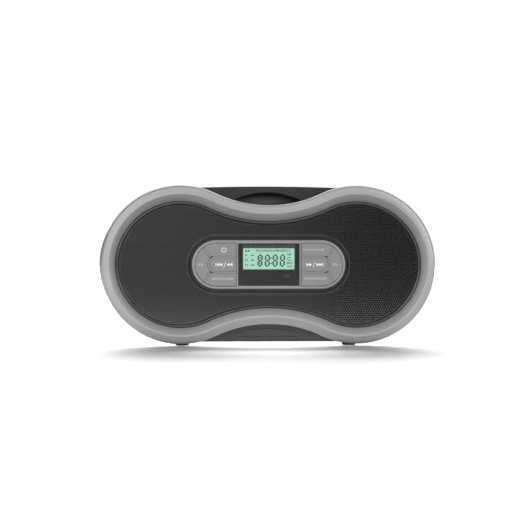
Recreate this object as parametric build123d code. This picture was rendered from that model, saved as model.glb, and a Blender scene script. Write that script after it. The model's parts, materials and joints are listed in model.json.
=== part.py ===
from build123d import *
import os
from math import acos, atan2, cos, degrees, pi, radians, sin, sqrt, tan

# A CD boombox. X runs to the right, Y to the rear and Z up, in millimetres. The origin is on the
# ground, under the middle of the body. Depths are counted from the front of the bezel.

# Overall size
WIDTH = 300.0
DEPTH = 215.0
FRONT = -DEPTH / 2
GROUND_GAP = 2.0

# Bezel round the front, a peanut of two lobes and a waist
LOBE_R = 71.0
WAIST_DIP = 17.7
WAIST_HALF = LOBE_R - WAIST_DIP
LOBE_X = WIDTH / 2 - LOBE_R
AXIS_Z = GROUND_GAP + LOBE_R
WAIST_R = (LOBE_X**2 + WAIST_HALF**2 - LOBE_R**2) / (2 * (LOBE_R - WAIST_HALF))
WAIST_Z = WAIST_HALF + WAIST_R
TRIM_WIDTH = 14.3
TRIM_RIDGE = 8.0
TRIM_CROWN = 14.0
TRIM_DEPTH = 26.0
TRIM_SLOPE = 6.3
TRIM_LIP = 2.3

# Shells
WALL = 2.4
FIT = 0.3
CABINET_STEP = 1.5
CABINET_R = LOBE_R - CABINET_STEP
CABINET_TOP = AXIS_Z + CABINET_R
CABINET_BOTTOM = AXIS_Z - CABINET_R
COVER_DEPTH = 9.0
COVER_START = DEPTH - COVER_DEPTH
COVER_ROUND = 5.0
PLATE = 2.4
FLANGE_INSET = 10.0

# Baffle, grille and the thin rim between grille and bezel
BAFFLE_FRONT = 10.0
BAFFLE_T = 3.0
RIM_WIDTH = 3.0
RIM_FRONT = 6.2
GRILLE_FRONT = 7.6
GRILLE_T = 1.2
GRILLE_HOLE_R = 1.1
GRILLE_PITCH = 5.2

# Control panel
PANEL_SHORT = 10.0
PANEL_LENGTH = 2 * (LOBE_X - PANEL_SHORT)
PANEL_HEIGHT = 44.0
PANEL_FRONT = 5.0
PANEL_T = 2.5
PANEL_RIM = 2.4
PANEL_EDGE = 1.2
PANEL_MOAT = 2.3
SKIRT_T = 1.0
MOUTH_SHORT = 7.0
MOUTH_INSET = 3.5
WINDOW_W = 54.8
WINDOW_H = 37.8
WINDOW_T = 1.6
WINDOW_PROUD = 0.1
WINDOW_ROUND = 0.8
WINDOW_FIT = 0.15
LEDGE_W = 3.0
LEDGE_TOP = 2.4
LCD_W = 46.0
LCD_H = 18.7
LCD_Z = 5.2
LCD_FRAME = 1.8
LCD_SUNK = 0.6
EYE_X = 16.4
EYE_Z = -11.0
EYE_HALF = 3.0
EYE_TOP = 2.6
EYE_DOME_R = 2.2

# Keys
KEY_PROUD = 0.8
KEY_GAP = 0.8
KEY_PLAY = 0.35
KEY_FLANGE = 0.6
KEY_FLANGE_T = 0.6
KEY_CHAMFER = 0.35
KEY_TRAVEL = 1.2
KEY_STEM_R = 2.1
KEY_WALL = 1.5
KEY_INNER = WINDOW_W / 2 + KEY_WALL
SKIP_HALF = 6.4
SKIP_SHORT = 15.2
SKIP_END = PANEL_LENGTH / 2 - SKIP_SHORT
VOLUME_SHORT = 10.5
VOLUME_X = PANEL_LENGTH / 2 - VOLUME_SHORT
VOLUME_Z = 15.1
STEM_ROW = 12.6
STEM_MIDDLE = (KEY_INNER + SKIP_END) / 2
VOLUME_STEM_SHORT = 10.8
VOLUME_STEM = PANEL_LENGTH / 2 - VOLUME_STEM_SHORT
DOME_R = 2.9
DOME_TOP_R = 1.9
DOME_SPARE = 0.7
MAT_T = 1.0
MAT_LAP = 0.4
MAT_MARGIN = 1.0

# Loudspeakers
SPEAKER_OFFSET = 20.0
SPEAKER_R = 32.0
SPEAKER_HOLE_R = 28.5
CONE_R = 23.0
COIL_R = 9.0
MAGNET_R = 18.0
MAGNET_T = 11.0
SPEAKER_DEPTH = 32.0
CONE_TRAVEL = 1.2
COIL_SPARE = 3.3
CONE_T = 0.5
BASKET_T = 1.4
BASKET_WINDOWS = 4
BASKET_WINDOW_HALF = 7.0
MAGNET_BACK = 3.0

# Carry handle and the finger pocket under it
POCKET_R = 22.0
POCKET_DEPTH = 42.0
POCKET_HALF = 50.0
HANDLE_T = 18.0
HANDLE_ARCH_R = 70.0
HANDLE_ARCH_T = 4.2
HANDLE_ARCH_TOP = CABINET_TOP - HANDLE_ARCH_T
HANDLE_ARCH_MARGIN = 8.0
HANDLE_TAB = 10.0
HANDLE_TAB_T = 6.0
HANDLE_CROWN = 1.0
HANDLE_DROP = 14.0
HANDLE_UNDER = CABINET_TOP - HANDLE_DROP

# Disc well and lid
DISC_R = 60.0
DISC_ROOM = 1.5
WELL_R = DISC_R + DISC_ROOM
WELL_WALL = 2.0
WELL_DEPTH = 18.5
WELL_FLOOR = CABINET_TOP - WELL_DEPTH
LID_LAP = 4.0
LID_R = WELL_R + LID_LAP
LID_T = 2.2
LID_CHAMFER = 0.6
LID_SEAM = 0.3
LID_REAR_HALF = 30.0
LID_MARGIN = 3.5
LID_REAR = COVER_START - LID_MARGIN
SPINDLE_SETBACK = 70.0
SPINDLE_DEPTH = LID_REAR - SPINDLE_SETBACK
LID_RIM_GAP = 2.5
LID_RIM_T = 1.8
LID_RIM_DROP = 2.2
HINGE_SETBACK = 4.0
HINGE_DEPTH = LID_REAR - HINGE_SETBACK
HINGE_DROP = 2.5
HINGE_PIN_R = 1.0
KNUCKLE_R = 2.3
KNUCKLE_LENGTH = 7.6
KNUCKLE_GAP = 0.4
LUG_ROOM = 3.2
LUG_TOP = 1.6
DECK_FLANGE = 6.5
DECK_FLANGE_R = LID_R + DECK_FLANGE
DECK_SCREW_OUT = 3.0
DECK_SCREW_SPREAD = 10.0
LENS_WINDOW_R = 27.0
LENS_WINDOW_T = 1.2
LENS_WINDOW_LAP = 2.0
LENS_WINDOW_FIT = 0.1

# Disc drive
TURNTABLE_R = 15.0
TURNTABLE_T = 2.2
PAD_T = 0.8
HUB_R = 7.3
HUB_H = 4.6
HUB_SHOULDER = 2.2
HUB_CHAMFER = 1.8
BALLS = 3
BALL_R = 1.1
BALL_SUNK = 0.7
BALL_Z = 1.6
DISC_LIFT = 5.0
DISC_Z = WELL_FLOOR + DISC_LIFT
SHAFT_TOP = DISC_Z + 3.2
CHASSIS_DROP = 7.5
CHASSIS_TOP = WELL_FLOOR - CHASSIS_DROP
CHASSIS_T = 2.5
CHASSIS_LEFT = 28.0
CHASSIS_BACK = 34.0
CHASSIS_ROUND = 4.0
DAMPER_T = 3.0
BRACKET_T = 3.0
BRACKET_LIP = 1.6
SHAFT_R = 1.0
RUNNING = 0.05
MOTOR_R = 11.0
MOTOR_H = 11.0
ROD_R = 1.5
ROD_SPREAD = 10.0
ROD_DROP = 7.5
ROD_Z = CHASSIS_TOP - ROD_DROP
SLED_TRAVEL = 34.5
SLED_START = 14.0
SLED_LENGTH = 28.0
LENS_X = 23.0
GEAR_X = 44.0
RACK_OFFSET = 15.0
RACK_DEPTH = SPINDLE_DEPTH - RACK_OFFSET
MODULE = 0.8
PINION_TEETH = 12
WHEEL_TEETH = 36
MOTOR_TEETH = 10
MESH_ANGLE = 210.0

# Electrics
BOARD_T = 1.6
BOARD_LIFT = 10.5
BOARD_BOTTOM = CABINET_BOTTOM + BOARD_LIFT
BAY_LENGTH = 156.0
BAY_HEIGHT = 56.0
BAY_DEPTH = 28.5
BAY_LIFT = 9.5
BAY_BOTTOM = CABINET_BOTTOM + BAY_LIFT
BAY_WALL = 1.6
DOOR_LAP = 3.0
DOOR_T = 2.4
SOCKET_OUT = 33.0
SOCKET_X = LOBE_X + SOCKET_OUT
SOCKET_DROP = 21.0
SOCKET_Z = AXIS_Z - SOCKET_DROP
SOCKET_FLANGE_T = 1.6
INLET_W = 17.0
INLET_H = 8.4
INLET_ROUND = 1.2
INLET_WALL = 1.8
INLET_FLANGE = 4.0
INLET_SUNK = 0.4
INLET_LENGTH = 17.6
INLET_BASE = 3.0
INLET_PIN_X = 4.3
INLET_PIN_R = 1.15
JACK_R = 1.8
JACK_NOSE_R = 3.8
JACK_LENGTH = 14.0
JACK_HALF = 6.0
JACK_SUNK = 0.2

# Antenna, lying in a channel along the top of the back
CHANNEL_DROP = 11.5
CHANNEL_BOTTOM = CABINET_TOP - CHANNEL_DROP
CHANNEL_DEPTH = 6.6
CHANNEL_START = 18.0
MAST_OUT = 6.0
MAST_X = -LOBE_X - MAST_OUT
MAST_DROP = 7.0
MAST_Z = CABINET_TOP - MAST_DROP
MAST_R = 3.0
MAST_LENGTH = 165.0
TUBE_WALL = 0.35

# Feet
FOOT_INSET = 3.0
FOOT_X = LOBE_X - FOOT_INSET
FOOT_R = 6.25
FOOT_CHAMFER = 0.8
FOOT_FRONT = 42.0
FOOT_BACK = 25.0
FOOT_REAR = DEPTH - FOOT_BACK


# Shape helpers
def box(x0, x1, near, far, low, high):
    """Box between two planes each way, with Y given as depth."""
    centre = Pos((x0 + x1) / 2, FRONT + (near + far) / 2, (low + high) / 2)
    return centre * Box(x1 - x0, far - near, high - low)


def rod_x(depth, z, radius, x0, x1):
    """Cylinder along X."""
    return Pos((x0 + x1) / 2, FRONT + depth, z) * Rot(0, 90, 0) * Cylinder(radius, x1 - x0)


def rod_y(x, z, radius, near, far):
    """Cylinder along Y."""
    return Pos(x, FRONT + (near + far) / 2, z) * Rot(90, 0, 0) * Cylinder(radius, far - near)


def rod_z(x, depth, radius, low, high):
    """Cylinder along Z."""
    return Pos(x, FRONT + depth, (low + high) / 2) * Cylinder(radius, high - low)


def front_slab(face, near, far):
    """Prism of a face drawn in X and Z, between two depths."""
    plane = Plane(origin=(0, FRONT + far, 0), x_dir=(1, 0, 0), z_dir=(0, -1, 0))
    return extrude(plane * face, amount=far - near, dir=(0, -1, 0))


def flat_slab(face, low, high):
    """Prism of a face drawn in X and depth, between two heights."""
    return extrude(Pos(0, FRONT, low) * face, amount=high - low, dir=(0, 0, 1))


def turned(points, x, z):
    """Solid turned about a fore-and-aft axis, from points of radius and depth."""
    plane = Plane(origin=(x, FRONT, z), x_dir=(1, 0, 0), z_dir=(0, 0, 1))
    profile = make_face(Polyline(*points, close=True))
    return revolve(plane * profile, axis=Axis((x, 0, z), (0, 1, 0)))


def group(solids):
    """Separate solids that share one node."""
    return Compound([solid for piece in solids for solid in piece.solids()])


def on_lobe(side, radius, angle):
    """X and Z of a point at a radius and an angle round a lobe's centre."""
    x = side * (LOBE_X + radius * cos(radians(angle)))
    return x, AXIS_Z + radius * sin(radians(angle))


# Peanut outline
TANGENT = atan2(WAIST_Z, -LOBE_X)


def tangent_point(side, upper, inset):
    """Point where a lobe's arc runs into a waist arc."""
    radius = LOBE_R - inset
    x = LOBE_X + radius * cos(TANGENT)
    return side * x, AXIS_Z + upper * radius * sin(TANGENT)


def peanut(inset):
    """Peanut outline drawn in by an inset all round, as a face in X and Z."""
    lobe_end = WIDTH / 2 - inset
    waist = WAIST_HALF - inset
    arcs = [
        ThreePointArc(tangent_point(1, 1, inset), (lobe_end, AXIS_Z), tangent_point(1, -1, inset)),
        ThreePointArc(tangent_point(1, -1, inset), (0, AXIS_Z - waist), tangent_point(-1, -1, inset)),
        ThreePointArc(tangent_point(-1, -1, inset), (-lobe_end, AXIS_Z), tangent_point(-1, 1, inset)),
        ThreePointArc(tangent_point(-1, 1, inset), (0, AXIS_Z + waist), tangent_point(1, 1, inset)),
    ]
    return make_face(arcs)


def peanut_ring(section):
    """Ring round the peanut, from a section drawn in inset and depth."""
    lobe_turn = degrees(2 * TANGENT)
    waist_turn = degrees(2 * TANGENT - pi)
    spans = [
        (tangent_point(1, -1, 0), (LOBE_X, AXIS_Z), 1, lobe_turn),
        (tangent_point(-1, 1, 0), (-LOBE_X, AXIS_Z), 1, lobe_turn),
        (tangent_point(-1, 1, 0), (0, AXIS_Z + WAIST_Z), -1, waist_turn),
        (tangent_point(1, -1, 0), (0, AXIS_Z - WAIST_Z), -1, waist_turn),
    ]
    pieces = []
    for start, centre, inward, turn in spans:
        run_x = (centre[0] - start[0]) * inward
        run_z = (centre[1] - start[1]) * inward
        radial = Vector(run_x, 0, run_z).normalized()
        normal = radial.cross(Vector(0, 1, 0))
        plane = Plane(origin=(start[0], FRONT, start[1]), x_dir=radial, z_dir=normal)
        axis = Axis((centre[0], 0, centre[1]), (0, -1, 0))
        pieces.append(revolve(plane * section, axis=axis, revolution_arc=turn))
    return pieces[0] + pieces[1:]


def stadium(radius):
    """Cross-section of the cabinet: the two lobes joined by straight lines."""
    return Pos(0, AXIS_Z) * SlotOverall(2 * (LOBE_X + radius), 2 * radius)


# Bezel
TRIM_SCREW_INSET = 6.3
TRIM_SCREW_ANGLES = (-75.0, 0.0, 75.0)
BAFFLE_SCREW_INSET = 8.4
BAFFLE_SCREW_ANGLES = (-50.0, 50.0)
SMALL_SCREW_R = 1.0
SMALL_HEAD_R = 2.2
SMALL_HEAD_T = 1.6


def trim_section():
    """Section of the bezel: a rounded crown outside, a slope down to the face inside."""
    inner = TRIM_WIDTH - TRIM_LIP
    under = WALL + 0.3
    slope_end = TRIM_SLOPE + 0.7
    edges = [
        Line((0, TRIM_DEPTH), (0, TRIM_CROWN)),
        EllipticalCenterArc((TRIM_RIDGE, TRIM_CROWN), TRIM_RIDGE, TRIM_CROWN, 180),
        EllipticalCenterArc((TRIM_RIDGE, TRIM_SLOPE), TRIM_WIDTH - TRIM_RIDGE, TRIM_SLOPE, 270),
        Line((TRIM_WIDTH, TRIM_SLOPE), (TRIM_WIDTH, BAFFLE_FRONT)),
        Line((TRIM_WIDTH, BAFFLE_FRONT), (inner, BAFFLE_FRONT)),
        Line((inner, BAFFLE_FRONT), (inner, slope_end)),
        EllipticalCenterArc((TRIM_RIDGE, slope_end), inner - TRIM_RIDGE, slope_end - under, 270),
        EllipticalCenterArc((TRIM_RIDGE, TRIM_CROWN), TRIM_RIDGE - WALL, TRIM_CROWN - under, 180),
        Line((WALL, TRIM_CROWN), (WALL, TRIM_DEPTH)),
        Line((WALL, TRIM_DEPTH), (0, TRIM_DEPTH)),
    ]
    return make_face(edges)


def trim_screw_places():
    radius = LOBE_R - TRIM_SCREW_INSET
    return [on_lobe(side, radius, angle) for side in (-1, 1) for angle in TRIM_SCREW_ANGLES]


def baffle_screw_places():
    radius = LOBE_R - BAFFLE_SCREW_INSET
    return [on_lobe(side, radius, angle) for side in (-1, 1) for angle in BAFFLE_SCREW_ANGLES]


def front_trim():
    ring = peanut_ring(trim_section())
    bosses = []
    holes = []
    for x, z in trim_screw_places():
        bosses.append(rod_y(x, z, TRIM_SCREW_INSET - WALL + 0.3, TRIM_CROWN + 2, TRIM_DEPTH))
        holes.append(rod_y(x, z, SMALL_SCREW_R, TRIM_CROWN + 5, TRIM_DEPTH))
    for x, z in baffle_screw_places():
        bosses.append(rod_y(x, z, 2.4, WALL, BAFFLE_FRONT))
        holes.append(rod_y(x, z, SMALL_SCREW_R, WALL + 1.5, BAFFLE_FRONT))
    return ring + bosses - holes


def front_screws():
    """Small screws that hold the baffle and the cabinet to the bezel."""
    screws = []
    for x, z in trim_screw_places():
        seat = TRIM_DEPTH + PLATE
        shank = rod_y(x, z, SMALL_SCREW_R, TRIM_CROWN + 6, seat)
        screws.append(shank + rod_y(x, z, SMALL_HEAD_R, seat, seat + SMALL_HEAD_T))
    for x, z in baffle_screw_places():
        seat = BAFFLE_FRONT + BAFFLE_T
        shank = rod_y(x, z, SMALL_SCREW_R, WALL + 2.5, seat)
        screws.append(shank + rod_y(x, z, SMALL_HEAD_R, seat, seat + SMALL_HEAD_T))
    return screws


# Face
PANEL_R = PANEL_HEIGHT / 2
PANEL_END = PANEL_LENGTH / 2
GRILLE_INSET = TRIM_WIDTH + RIM_WIDTH + 0.4
MOUTH_R = PANEL_R - MOUTH_INSET
MOUTH_LENGTH = PANEL_LENGTH - 2 * MOUTH_SHORT


def panel_stadium(grow):
    """Outline of the control panel, grown all round."""
    return Pos(0, AXIS_Z) * SlotOverall(PANEL_LENGTH + 2 * grow, PANEL_HEIGHT + 2 * grow)


def baffle_mouth(grow=0.0):
    """Opening in the baffle behind the control panel."""
    return Pos(0, AXIS_Z) * SlotOverall(MOUTH_LENGTH + 2 * grow, 2 * (MOUTH_R + grow))


def speaker_x(side):
    return side * (LOBE_X + SPEAKER_OFFSET)


def front_baffle():
    far = BAFFLE_FRONT + BAFFLE_T
    plate = front_slab(peanut(WALL + 0.8) - baffle_mouth(), BAFFLE_FRONT, far)
    holes = [rod_y(speaker_x(side), AXIS_Z, SPEAKER_HOLE_R, BAFFLE_FRONT, far) for side in (-1, 1)]
    holes += [rod_y(x, z, SMALL_SCREW_R, BAFFLE_FRONT, far) for x, z in baffle_screw_places()]
    return plate - holes


def grille_ring():
    """Thin bevelled rim between the bezel and the grille."""
    outer = TRIM_WIDTH + 0.2
    inner = TRIM_WIDTH + RIM_WIDTH
    points = [
        (outer, BAFFLE_FRONT),
        (outer, RIM_FRONT + 0.5),
        (outer + 0.5, RIM_FRONT),
        (inner - 1.0, RIM_FRONT + 0.4),
        (inner, RIM_FRONT + 1.6),
        (inner, BAFFLE_FRONT),
    ]
    section = make_face(Polyline(*points, close=True))
    return peanut_ring(section)


def grille_points():
    """Centres of the sound holes in front of the two loudspeakers, in a staggered pattern."""
    points = []
    row_step = GRILLE_PITCH * sqrt(3) / 2
    reach = SPEAKER_R - GRILLE_HOLE_R - 1.5
    rows = int(reach / row_step)
    for side in (-1, 1):
        for row in range(-rows, rows + 1):
            z = row * row_step
            shift = GRILLE_PITCH / 2 if row % 2 else 0.0
            count = int(reach / GRILLE_PITCH) + 1
            for step in range(-count, count + 1):
                x = step * GRILLE_PITCH + shift
                if x * x + z * z < reach * reach:
                    points.append((speaker_x(side) + x, AXIS_Z + z))
    return points


def speaker_grille():
    opening = panel_stadium(PANEL_MOAT)
    holes = Sketch() + [Pos(x, z) * Circle(GRILLE_HOLE_R) for x, z in grille_points()]
    plate = front_slab(peanut(GRILLE_INSET) - opening - holes, GRILLE_FRONT, GRILLE_FRONT + GRILLE_T)
    rim_outline = peanut(GRILLE_INSET) - peanut(GRILLE_INSET + 1.2)
    rim = front_slab(rim_outline, GRILLE_FRONT + GRILLE_T, BAFFLE_FRONT)
    collar_outline = panel_stadium(PANEL_MOAT + 1.2) - opening
    collar = front_slab(collar_outline, GRILLE_FRONT + GRILLE_T, BAFFLE_FRONT)
    return plate + [rim, collar]


# Key shapes, drawn for the left side with the panel's centre at the origin
KEYFIELD_R = PANEL_R - PANEL_RIM


def keyfield(grow):
    """Left part of the panel that the keys fill, grown all round."""
    length = PANEL_LENGTH - 2 * PANEL_RIM + 2 * grow
    whole = SlotOverall(length, 2 * (KEYFIELD_R + grow))
    width = PANEL_END
    keep = Pos(-KEY_INNER + grow - width / 2, 0) * Rectangle(width, PANEL_HEIGHT)
    return whole & keep


def skip_shape(grow):
    """Middle key, with a round outer end."""
    half = SKIP_HALF + grow
    end = SKIP_END + grow
    reach = end - KEY_INNER + 20.0
    return Pos(-end + reach / 2, 0) * SlotOverall(reach, 2 * half) & keyfield(1.0)


def volume_side(shift):
    """Region beyond the two slanted gaps at the end of the keys."""
    near_x = SKIP_END - 1.0
    near_z = SKIP_HALF + KEY_GAP / 2
    slope = (VOLUME_X - near_x) / (VOLUME_Z - near_z)
    far_z = PANEL_HEIGHT
    tip_x = near_x - slope * near_z + shift
    far_x = tip_x + slope * far_z
    corners = [(-tip_x, 0), (-far_x, far_z), (-far_x - PANEL_END, far_z), (-far_x - PANEL_END, -far_z)]
    return make_face(Polyline(*corners, (-far_x, -far_z), close=True))


def key_cell(name):
    """Region that a key and its flange may fill, short of the next key by half a gap."""
    half_gap = KEY_GAP / 2
    everything = Rectangle(4 * PANEL_LENGTH, 4 * PANEL_HEIGHT)
    band = SKIP_HALF + half_gap
    above = Pos(0, band + half_gap + PANEL_HEIGHT) * Rectangle(4 * PANEL_LENGTH, 2 * PANEL_HEIGHT)
    if name == "skip":
        return skip_shape(0.0)
    if name == "volume":
        return everything & volume_side(half_gap) - skip_shape(KEY_GAP)
    inner = above - volume_side(-half_gap)
    if name == "upper":
        return inner
    return mirror(inner, about=Plane.XZ)


def key_shape(name, grow, side):
    """Outline of a key on one side, in X and Z."""
    left = keyfield(grow) & key_cell(name)
    placed = left if side < 0 else mirror(left, about=Plane.YZ)
    return Pos(0, AXIS_Z) * placed


KEY_STEMS = {
    "upper": (STEM_MIDDLE, STEM_ROW),
    "skip": (STEM_MIDDLE, 0.0),
    "lower": (STEM_MIDDLE, -STEM_ROW),
    "volume": (VOLUME_STEM, 0.0),
}
KEY_NAMES = {
    "key_power": ("upper", -1),
    "key_skip_back": ("skip", -1),
    "key_band": ("lower", -1),
    "key_volume_down": ("volume", -1),
    "key_play": ("upper", 1),
    "key_skip_forward": ("skip", 1),
    "key_stop": ("lower", 1),
    "key_volume_up": ("volume", 1),
}
PANEL_BACK = PANEL_FRONT + PANEL_T
FLANGE_FRONT = PANEL_BACK + 0.2
KEY_FRONT = PANEL_FRONT - KEY_PROUD
BAFFLE_BACK = BAFFLE_FRONT + BAFFLE_T
MAT_TOP = BAFFLE_BACK - KEY_TRAVEL - DOME_SPARE
MAT_BACK = BAFFLE_BACK + MAT_T


def stem_place(name, side):
    x, z = KEY_STEMS[name]
    return side * x, AXIS_Z + z


def key(name, side):
    """One key: cap, retaining flange and stem."""
    cap = front_slab(key_shape(name, -KEY_PLAY, side), KEY_FRONT, FLANGE_FRONT)
    rim_edges = cap.edges().group_by(Axis.Y)[0]
    cap = chamfer(rim_edges, KEY_CHAMFER)
    flange = front_slab(key_shape(name, KEY_FLANGE, side), FLANGE_FRONT, FLANGE_FRONT + KEY_FLANGE_T)
    x, z = stem_place(name, side)
    stem = rod_y(x, z, KEY_STEM_R, FLANGE_FRONT, MAT_TOP - FIT)
    return cap + [flange, stem]


def control_panel():
    """Stadium panel with openings for the keys, the window and what lies behind it."""
    body = front_slab(panel_stadium(0), PANEL_FRONT, PANEL_BACK)
    body = fillet(body.edges().group_by(Axis.Y)[0], PANEL_EDGE)
    skirt = front_slab(panel_stadium(0) - panel_stadium(-SKIRT_T), PANEL_BACK, BAFFLE_FRONT)
    key_holes = []
    for side in (-1, 1):
        field = keyfield(0.0) if side < 0 else mirror(keyfield(0.0), about=Plane.YZ)
        key_holes.append(front_slab(Pos(0, AXIS_Z) * field, PANEL_FRONT, PANEL_BACK))
    half_w = WINDOW_W / 2 + WINDOW_FIT
    half_h = WINDOW_H / 2 + WINDOW_FIT
    ledge = PANEL_FRONT + WINDOW_T
    recess = box(-half_w, half_w, PANEL_FRONT - 1, ledge, AXIS_Z - half_h, AXIS_Z + half_h)
    through = box(
        LEDGE_W - half_w, half_w - LEDGE_W,
        ledge, PANEL_BACK,
        AXIS_Z + LEDGE_W - half_h, AXIS_Z + half_h - LEDGE_TOP,
    )
    return body + skirt - key_holes - [recess, through]


def display_window():
    half_w = WINDOW_W / 2
    half_h = WINDOW_H / 2
    front = PANEL_FRONT - WINDOW_PROUD
    plate = box(-half_w, half_w, front, PANEL_FRONT + WINDOW_T, AXIS_Z - half_h, AXIS_Z + half_h)
    return fillet(plate.edges().filter_by(Axis.Y), WINDOW_ROUND)


BOARD_FRONT = MAT_BACK + FIT


def lcd_module():
    """LCD glass in its frame, standing on the key board."""
    z = AXIS_Z + LCD_Z
    half_w = LCD_W / 2
    half_h = LCD_H / 2
    outer_w = half_w + LCD_FRAME
    outer_h = half_h + LCD_FRAME
    near = PANEL_BACK + FIT
    frame = box(-outer_w, outer_w, near, BOARD_FRONT, z - outer_h, z + outer_h)
    return frame - box(-half_w, half_w, near, near + LCD_SUNK, z - half_h, z + half_h)


def ir_receiver():
    """Infrared eye behind the display window."""
    z = AXIS_Z + EYE_Z
    near = PANEL_BACK + FIT
    crown = near + EYE_DOME_R / 2
    back = crown + EYE_DOME_R / 2
    dome = turned([(0, near), (EYE_DOME_R, crown), (EYE_DOME_R, back), (0, back)], EYE_X, z)
    seat = crown + EYE_DOME_R / 4
    body = box(EYE_X - EYE_HALF, EYE_X + EYE_HALF, seat, BOARD_FRONT, z - EYE_HALF, z + EYE_TOP)
    return body + dome


def key_mat():
    """Rubber mat with a dome under each key."""
    outline = baffle_mouth(-FIT)
    centre_w = LCD_W / 2 + LCD_FRAME + MAT_MARGIN
    window = Pos(0, AXIS_Z) * Rectangle(2 * centre_w, PANEL_HEIGHT)
    near = BAFFLE_BACK - MAT_LAP
    strips = front_slab(outline - window, near, BOARD_FRONT)
    bridge_top = AXIS_Z + EYE_Z - 1.5 * EYE_HALF
    bridge = box(-centre_w - 1, centre_w + 1, near, BOARD_FRONT, 0, bridge_top)
    bridge = bridge & front_slab(outline, BAFFLE_FRONT, BOARD_FRONT)
    domes = []
    for name, side in KEY_NAMES.values():
        x, z = stem_place(name, side)
        profile = [(0, MAT_TOP), (DOME_TOP_R, MAT_TOP), (DOME_R, BAFFLE_BACK), (0, BAFFLE_BACK)]
        domes.append(turned(profile, x, z))
    return strips + [bridge] + domes


def key_board():
    """Circuit board behind the keys, screwed to the baffle."""
    outline = baffle_mouth(3.0)
    board = front_slab(outline, BOARD_FRONT, BOARD_FRONT + BOARD_T)
    pegs = [rod_y(x, AXIS_Z + z, 1.4, BAFFLE_FRONT + BAFFLE_T, BOARD_FRONT) for x, z in board_pegs()]
    chips = box(-14, 14, BOARD_FRONT + BOARD_T, BOARD_FRONT + BOARD_T + 2.2, AXIS_Z - 9, AXIS_Z + 5)
    return board + chips + pegs


def board_pegs():
    z = MOUTH_R + 1.5
    return [(side * 20.0, way * z) for side in (-1, 1) for way in (-1, 1)]


# Loudspeakers
FRAME_FRONT = BAFFLE_BACK
MAGNET_FRONT = FRAME_FRONT + SPEAKER_DEPTH - MAGNET_T - MAGNET_BACK
GAP_OUTER = COIL_R + 0.5
GAP_INNER = COIL_R - 0.9


def speaker_frame(side):
    """Pressed basket: flange, sloping side with windows and the seat of the magnet."""
    x = speaker_x(side)
    t = BASKET_T
    near = FRAME_FRONT
    far = MAGNET_FRONT
    points = [
        (SPEAKER_HOLE_R, near),
        (SPEAKER_R, near),
        (SPEAKER_R, near + t),
        (SPEAKER_HOLE_R + 0.8, near + t),
        (MAGNET_R - 1, far),
        (GAP_OUTER + 0.4, far),
        (GAP_OUTER + 0.4, far - t),
        (MAGNET_R - 2, far - t),
        (SPEAKER_HOLE_R - 0.8, near + t),
    ]
    basket = turned(points, x, AXIS_Z)
    windows = []
    half = BASKET_WINDOW_HALF
    for k in range(BASKET_WINDOWS):
        angle = 360 * (k + 0.5) / BASKET_WINDOWS
        cut = box(-half, half, near + 5, far - 4, MAGNET_R - 4, SPEAKER_R)
        windows.append(Pos(x, 0, AXIS_Z) * Rot(0, angle, 0) * cut)
    return basket - windows


def speaker_magnet(side):
    """Ring magnet with its plates and pole, round the gap that the coil moves in."""
    x = speaker_x(side)
    near = MAGNET_FRONT
    far = near + MAGNET_T
    ring = turned([(GAP_OUTER, near), (MAGNET_R, near), (MAGNET_R, far), (GAP_OUTER, far)], x, AXIS_Z)
    back = rod_y(x, AXIS_Z, MAGNET_R - 1, far, far + MAGNET_BACK)
    pole = rod_y(x, AXIS_Z, GAP_INNER, near, far)
    return ring + [back, pole]


def speaker_cone(side):
    """Paper cone with dust cap and coil former, which move together."""
    x = speaker_x(side)
    near = FRAME_FRONT + 0.4
    neck = MAGNET_FRONT - 4.5
    coil_end = MAGNET_FRONT + MAGNET_T - COIL_SPARE - CONE_TRAVEL
    t = CONE_T
    points = [
        (CONE_R, near),
        (CONE_R, near + t),
        (COIL_R, neck + t),
        (COIL_R, coil_end),
        (COIL_R - t, coil_end),
        (COIL_R - t, neck - 0.6),
        (COIL_R - 2.5, neck - 2.6),
        (0, neck - 3.6),
        (0, neck - 4.1),
        (COIL_R - 2.5, neck - 3.1),
        (COIL_R, neck - 1.0),
    ]
    return turned(points, x, AXIS_Z)


def speaker_surround(side):
    """Half-roll of rubber between cone and basket."""
    x = speaker_x(side)
    inner = CONE_R + 0.1
    outer = SPEAKER_HOLE_R - 0.8
    middle = (inner + outer) / 2
    roll = (outer - inner) / 2
    near = FRAME_FRONT + 0.3
    top = near - roll
    plane = Plane(origin=(x, FRONT, AXIS_Z), x_dir=(1, 0, 0), z_dir=(0, 0, 1))
    t = CONE_T
    edges = [
        ThreePointArc((inner, near), (middle, top), (outer, near)),
        Line((outer, near), (outer, near + t)),
        Line((outer, near + t), (outer - t, near + t)),
        ThreePointArc((outer - t, near + t), (middle, top + t), (inner + t, near + t)),
        Line((inner + t, near + t), (inner, near + t)),
        Line((inner, near + t), (inner, near)),
    ]
    return revolve(plane * make_face(edges), axis=Axis((x, 0, AXIS_Z), (0, 1, 0)))


# Cabinet
SCREW_INSET = 10.0
CABINET_SCREW_R = CABINET_R - SCREW_INSET
CABINET_SCREW_ANGLES = (-52.0, 0.0, 52.0)
SCREW_R = 1.5
BOSS_R = 4.0
HEAD_R = 3.0
HEAD_T = 2.2
HEAD_SUNK = 4.0
SCREW_LENGTH = 14.0
BOSS_LENGTH = 30.0
WEB_LENGTH = 9.0
WEB_HALF = 1.2
STANDOFF_R = 3.2
BOARD_W = 120.0
BOARD_D = 110.0
BOARD_X1 = LOBE_X - 34.0
BOARD_X0 = BOARD_X1 - BOARD_W
BOARD_FAR = DEPTH - 43.0
BOARD_NEAR = BOARD_FAR - BOARD_D
BOARD_EDGE = 7.0
BOARD_SCREWS = [
    (x, depth)
    for x in (BOARD_X0 + BOARD_EDGE, BOARD_X1 - BOARD_EDGE)
    for depth in (BOARD_NEAR + BOARD_EDGE, BOARD_FAR - BOARD_EDGE)
]
CORE_W = 46.0
CORE_D = 20.0
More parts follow.
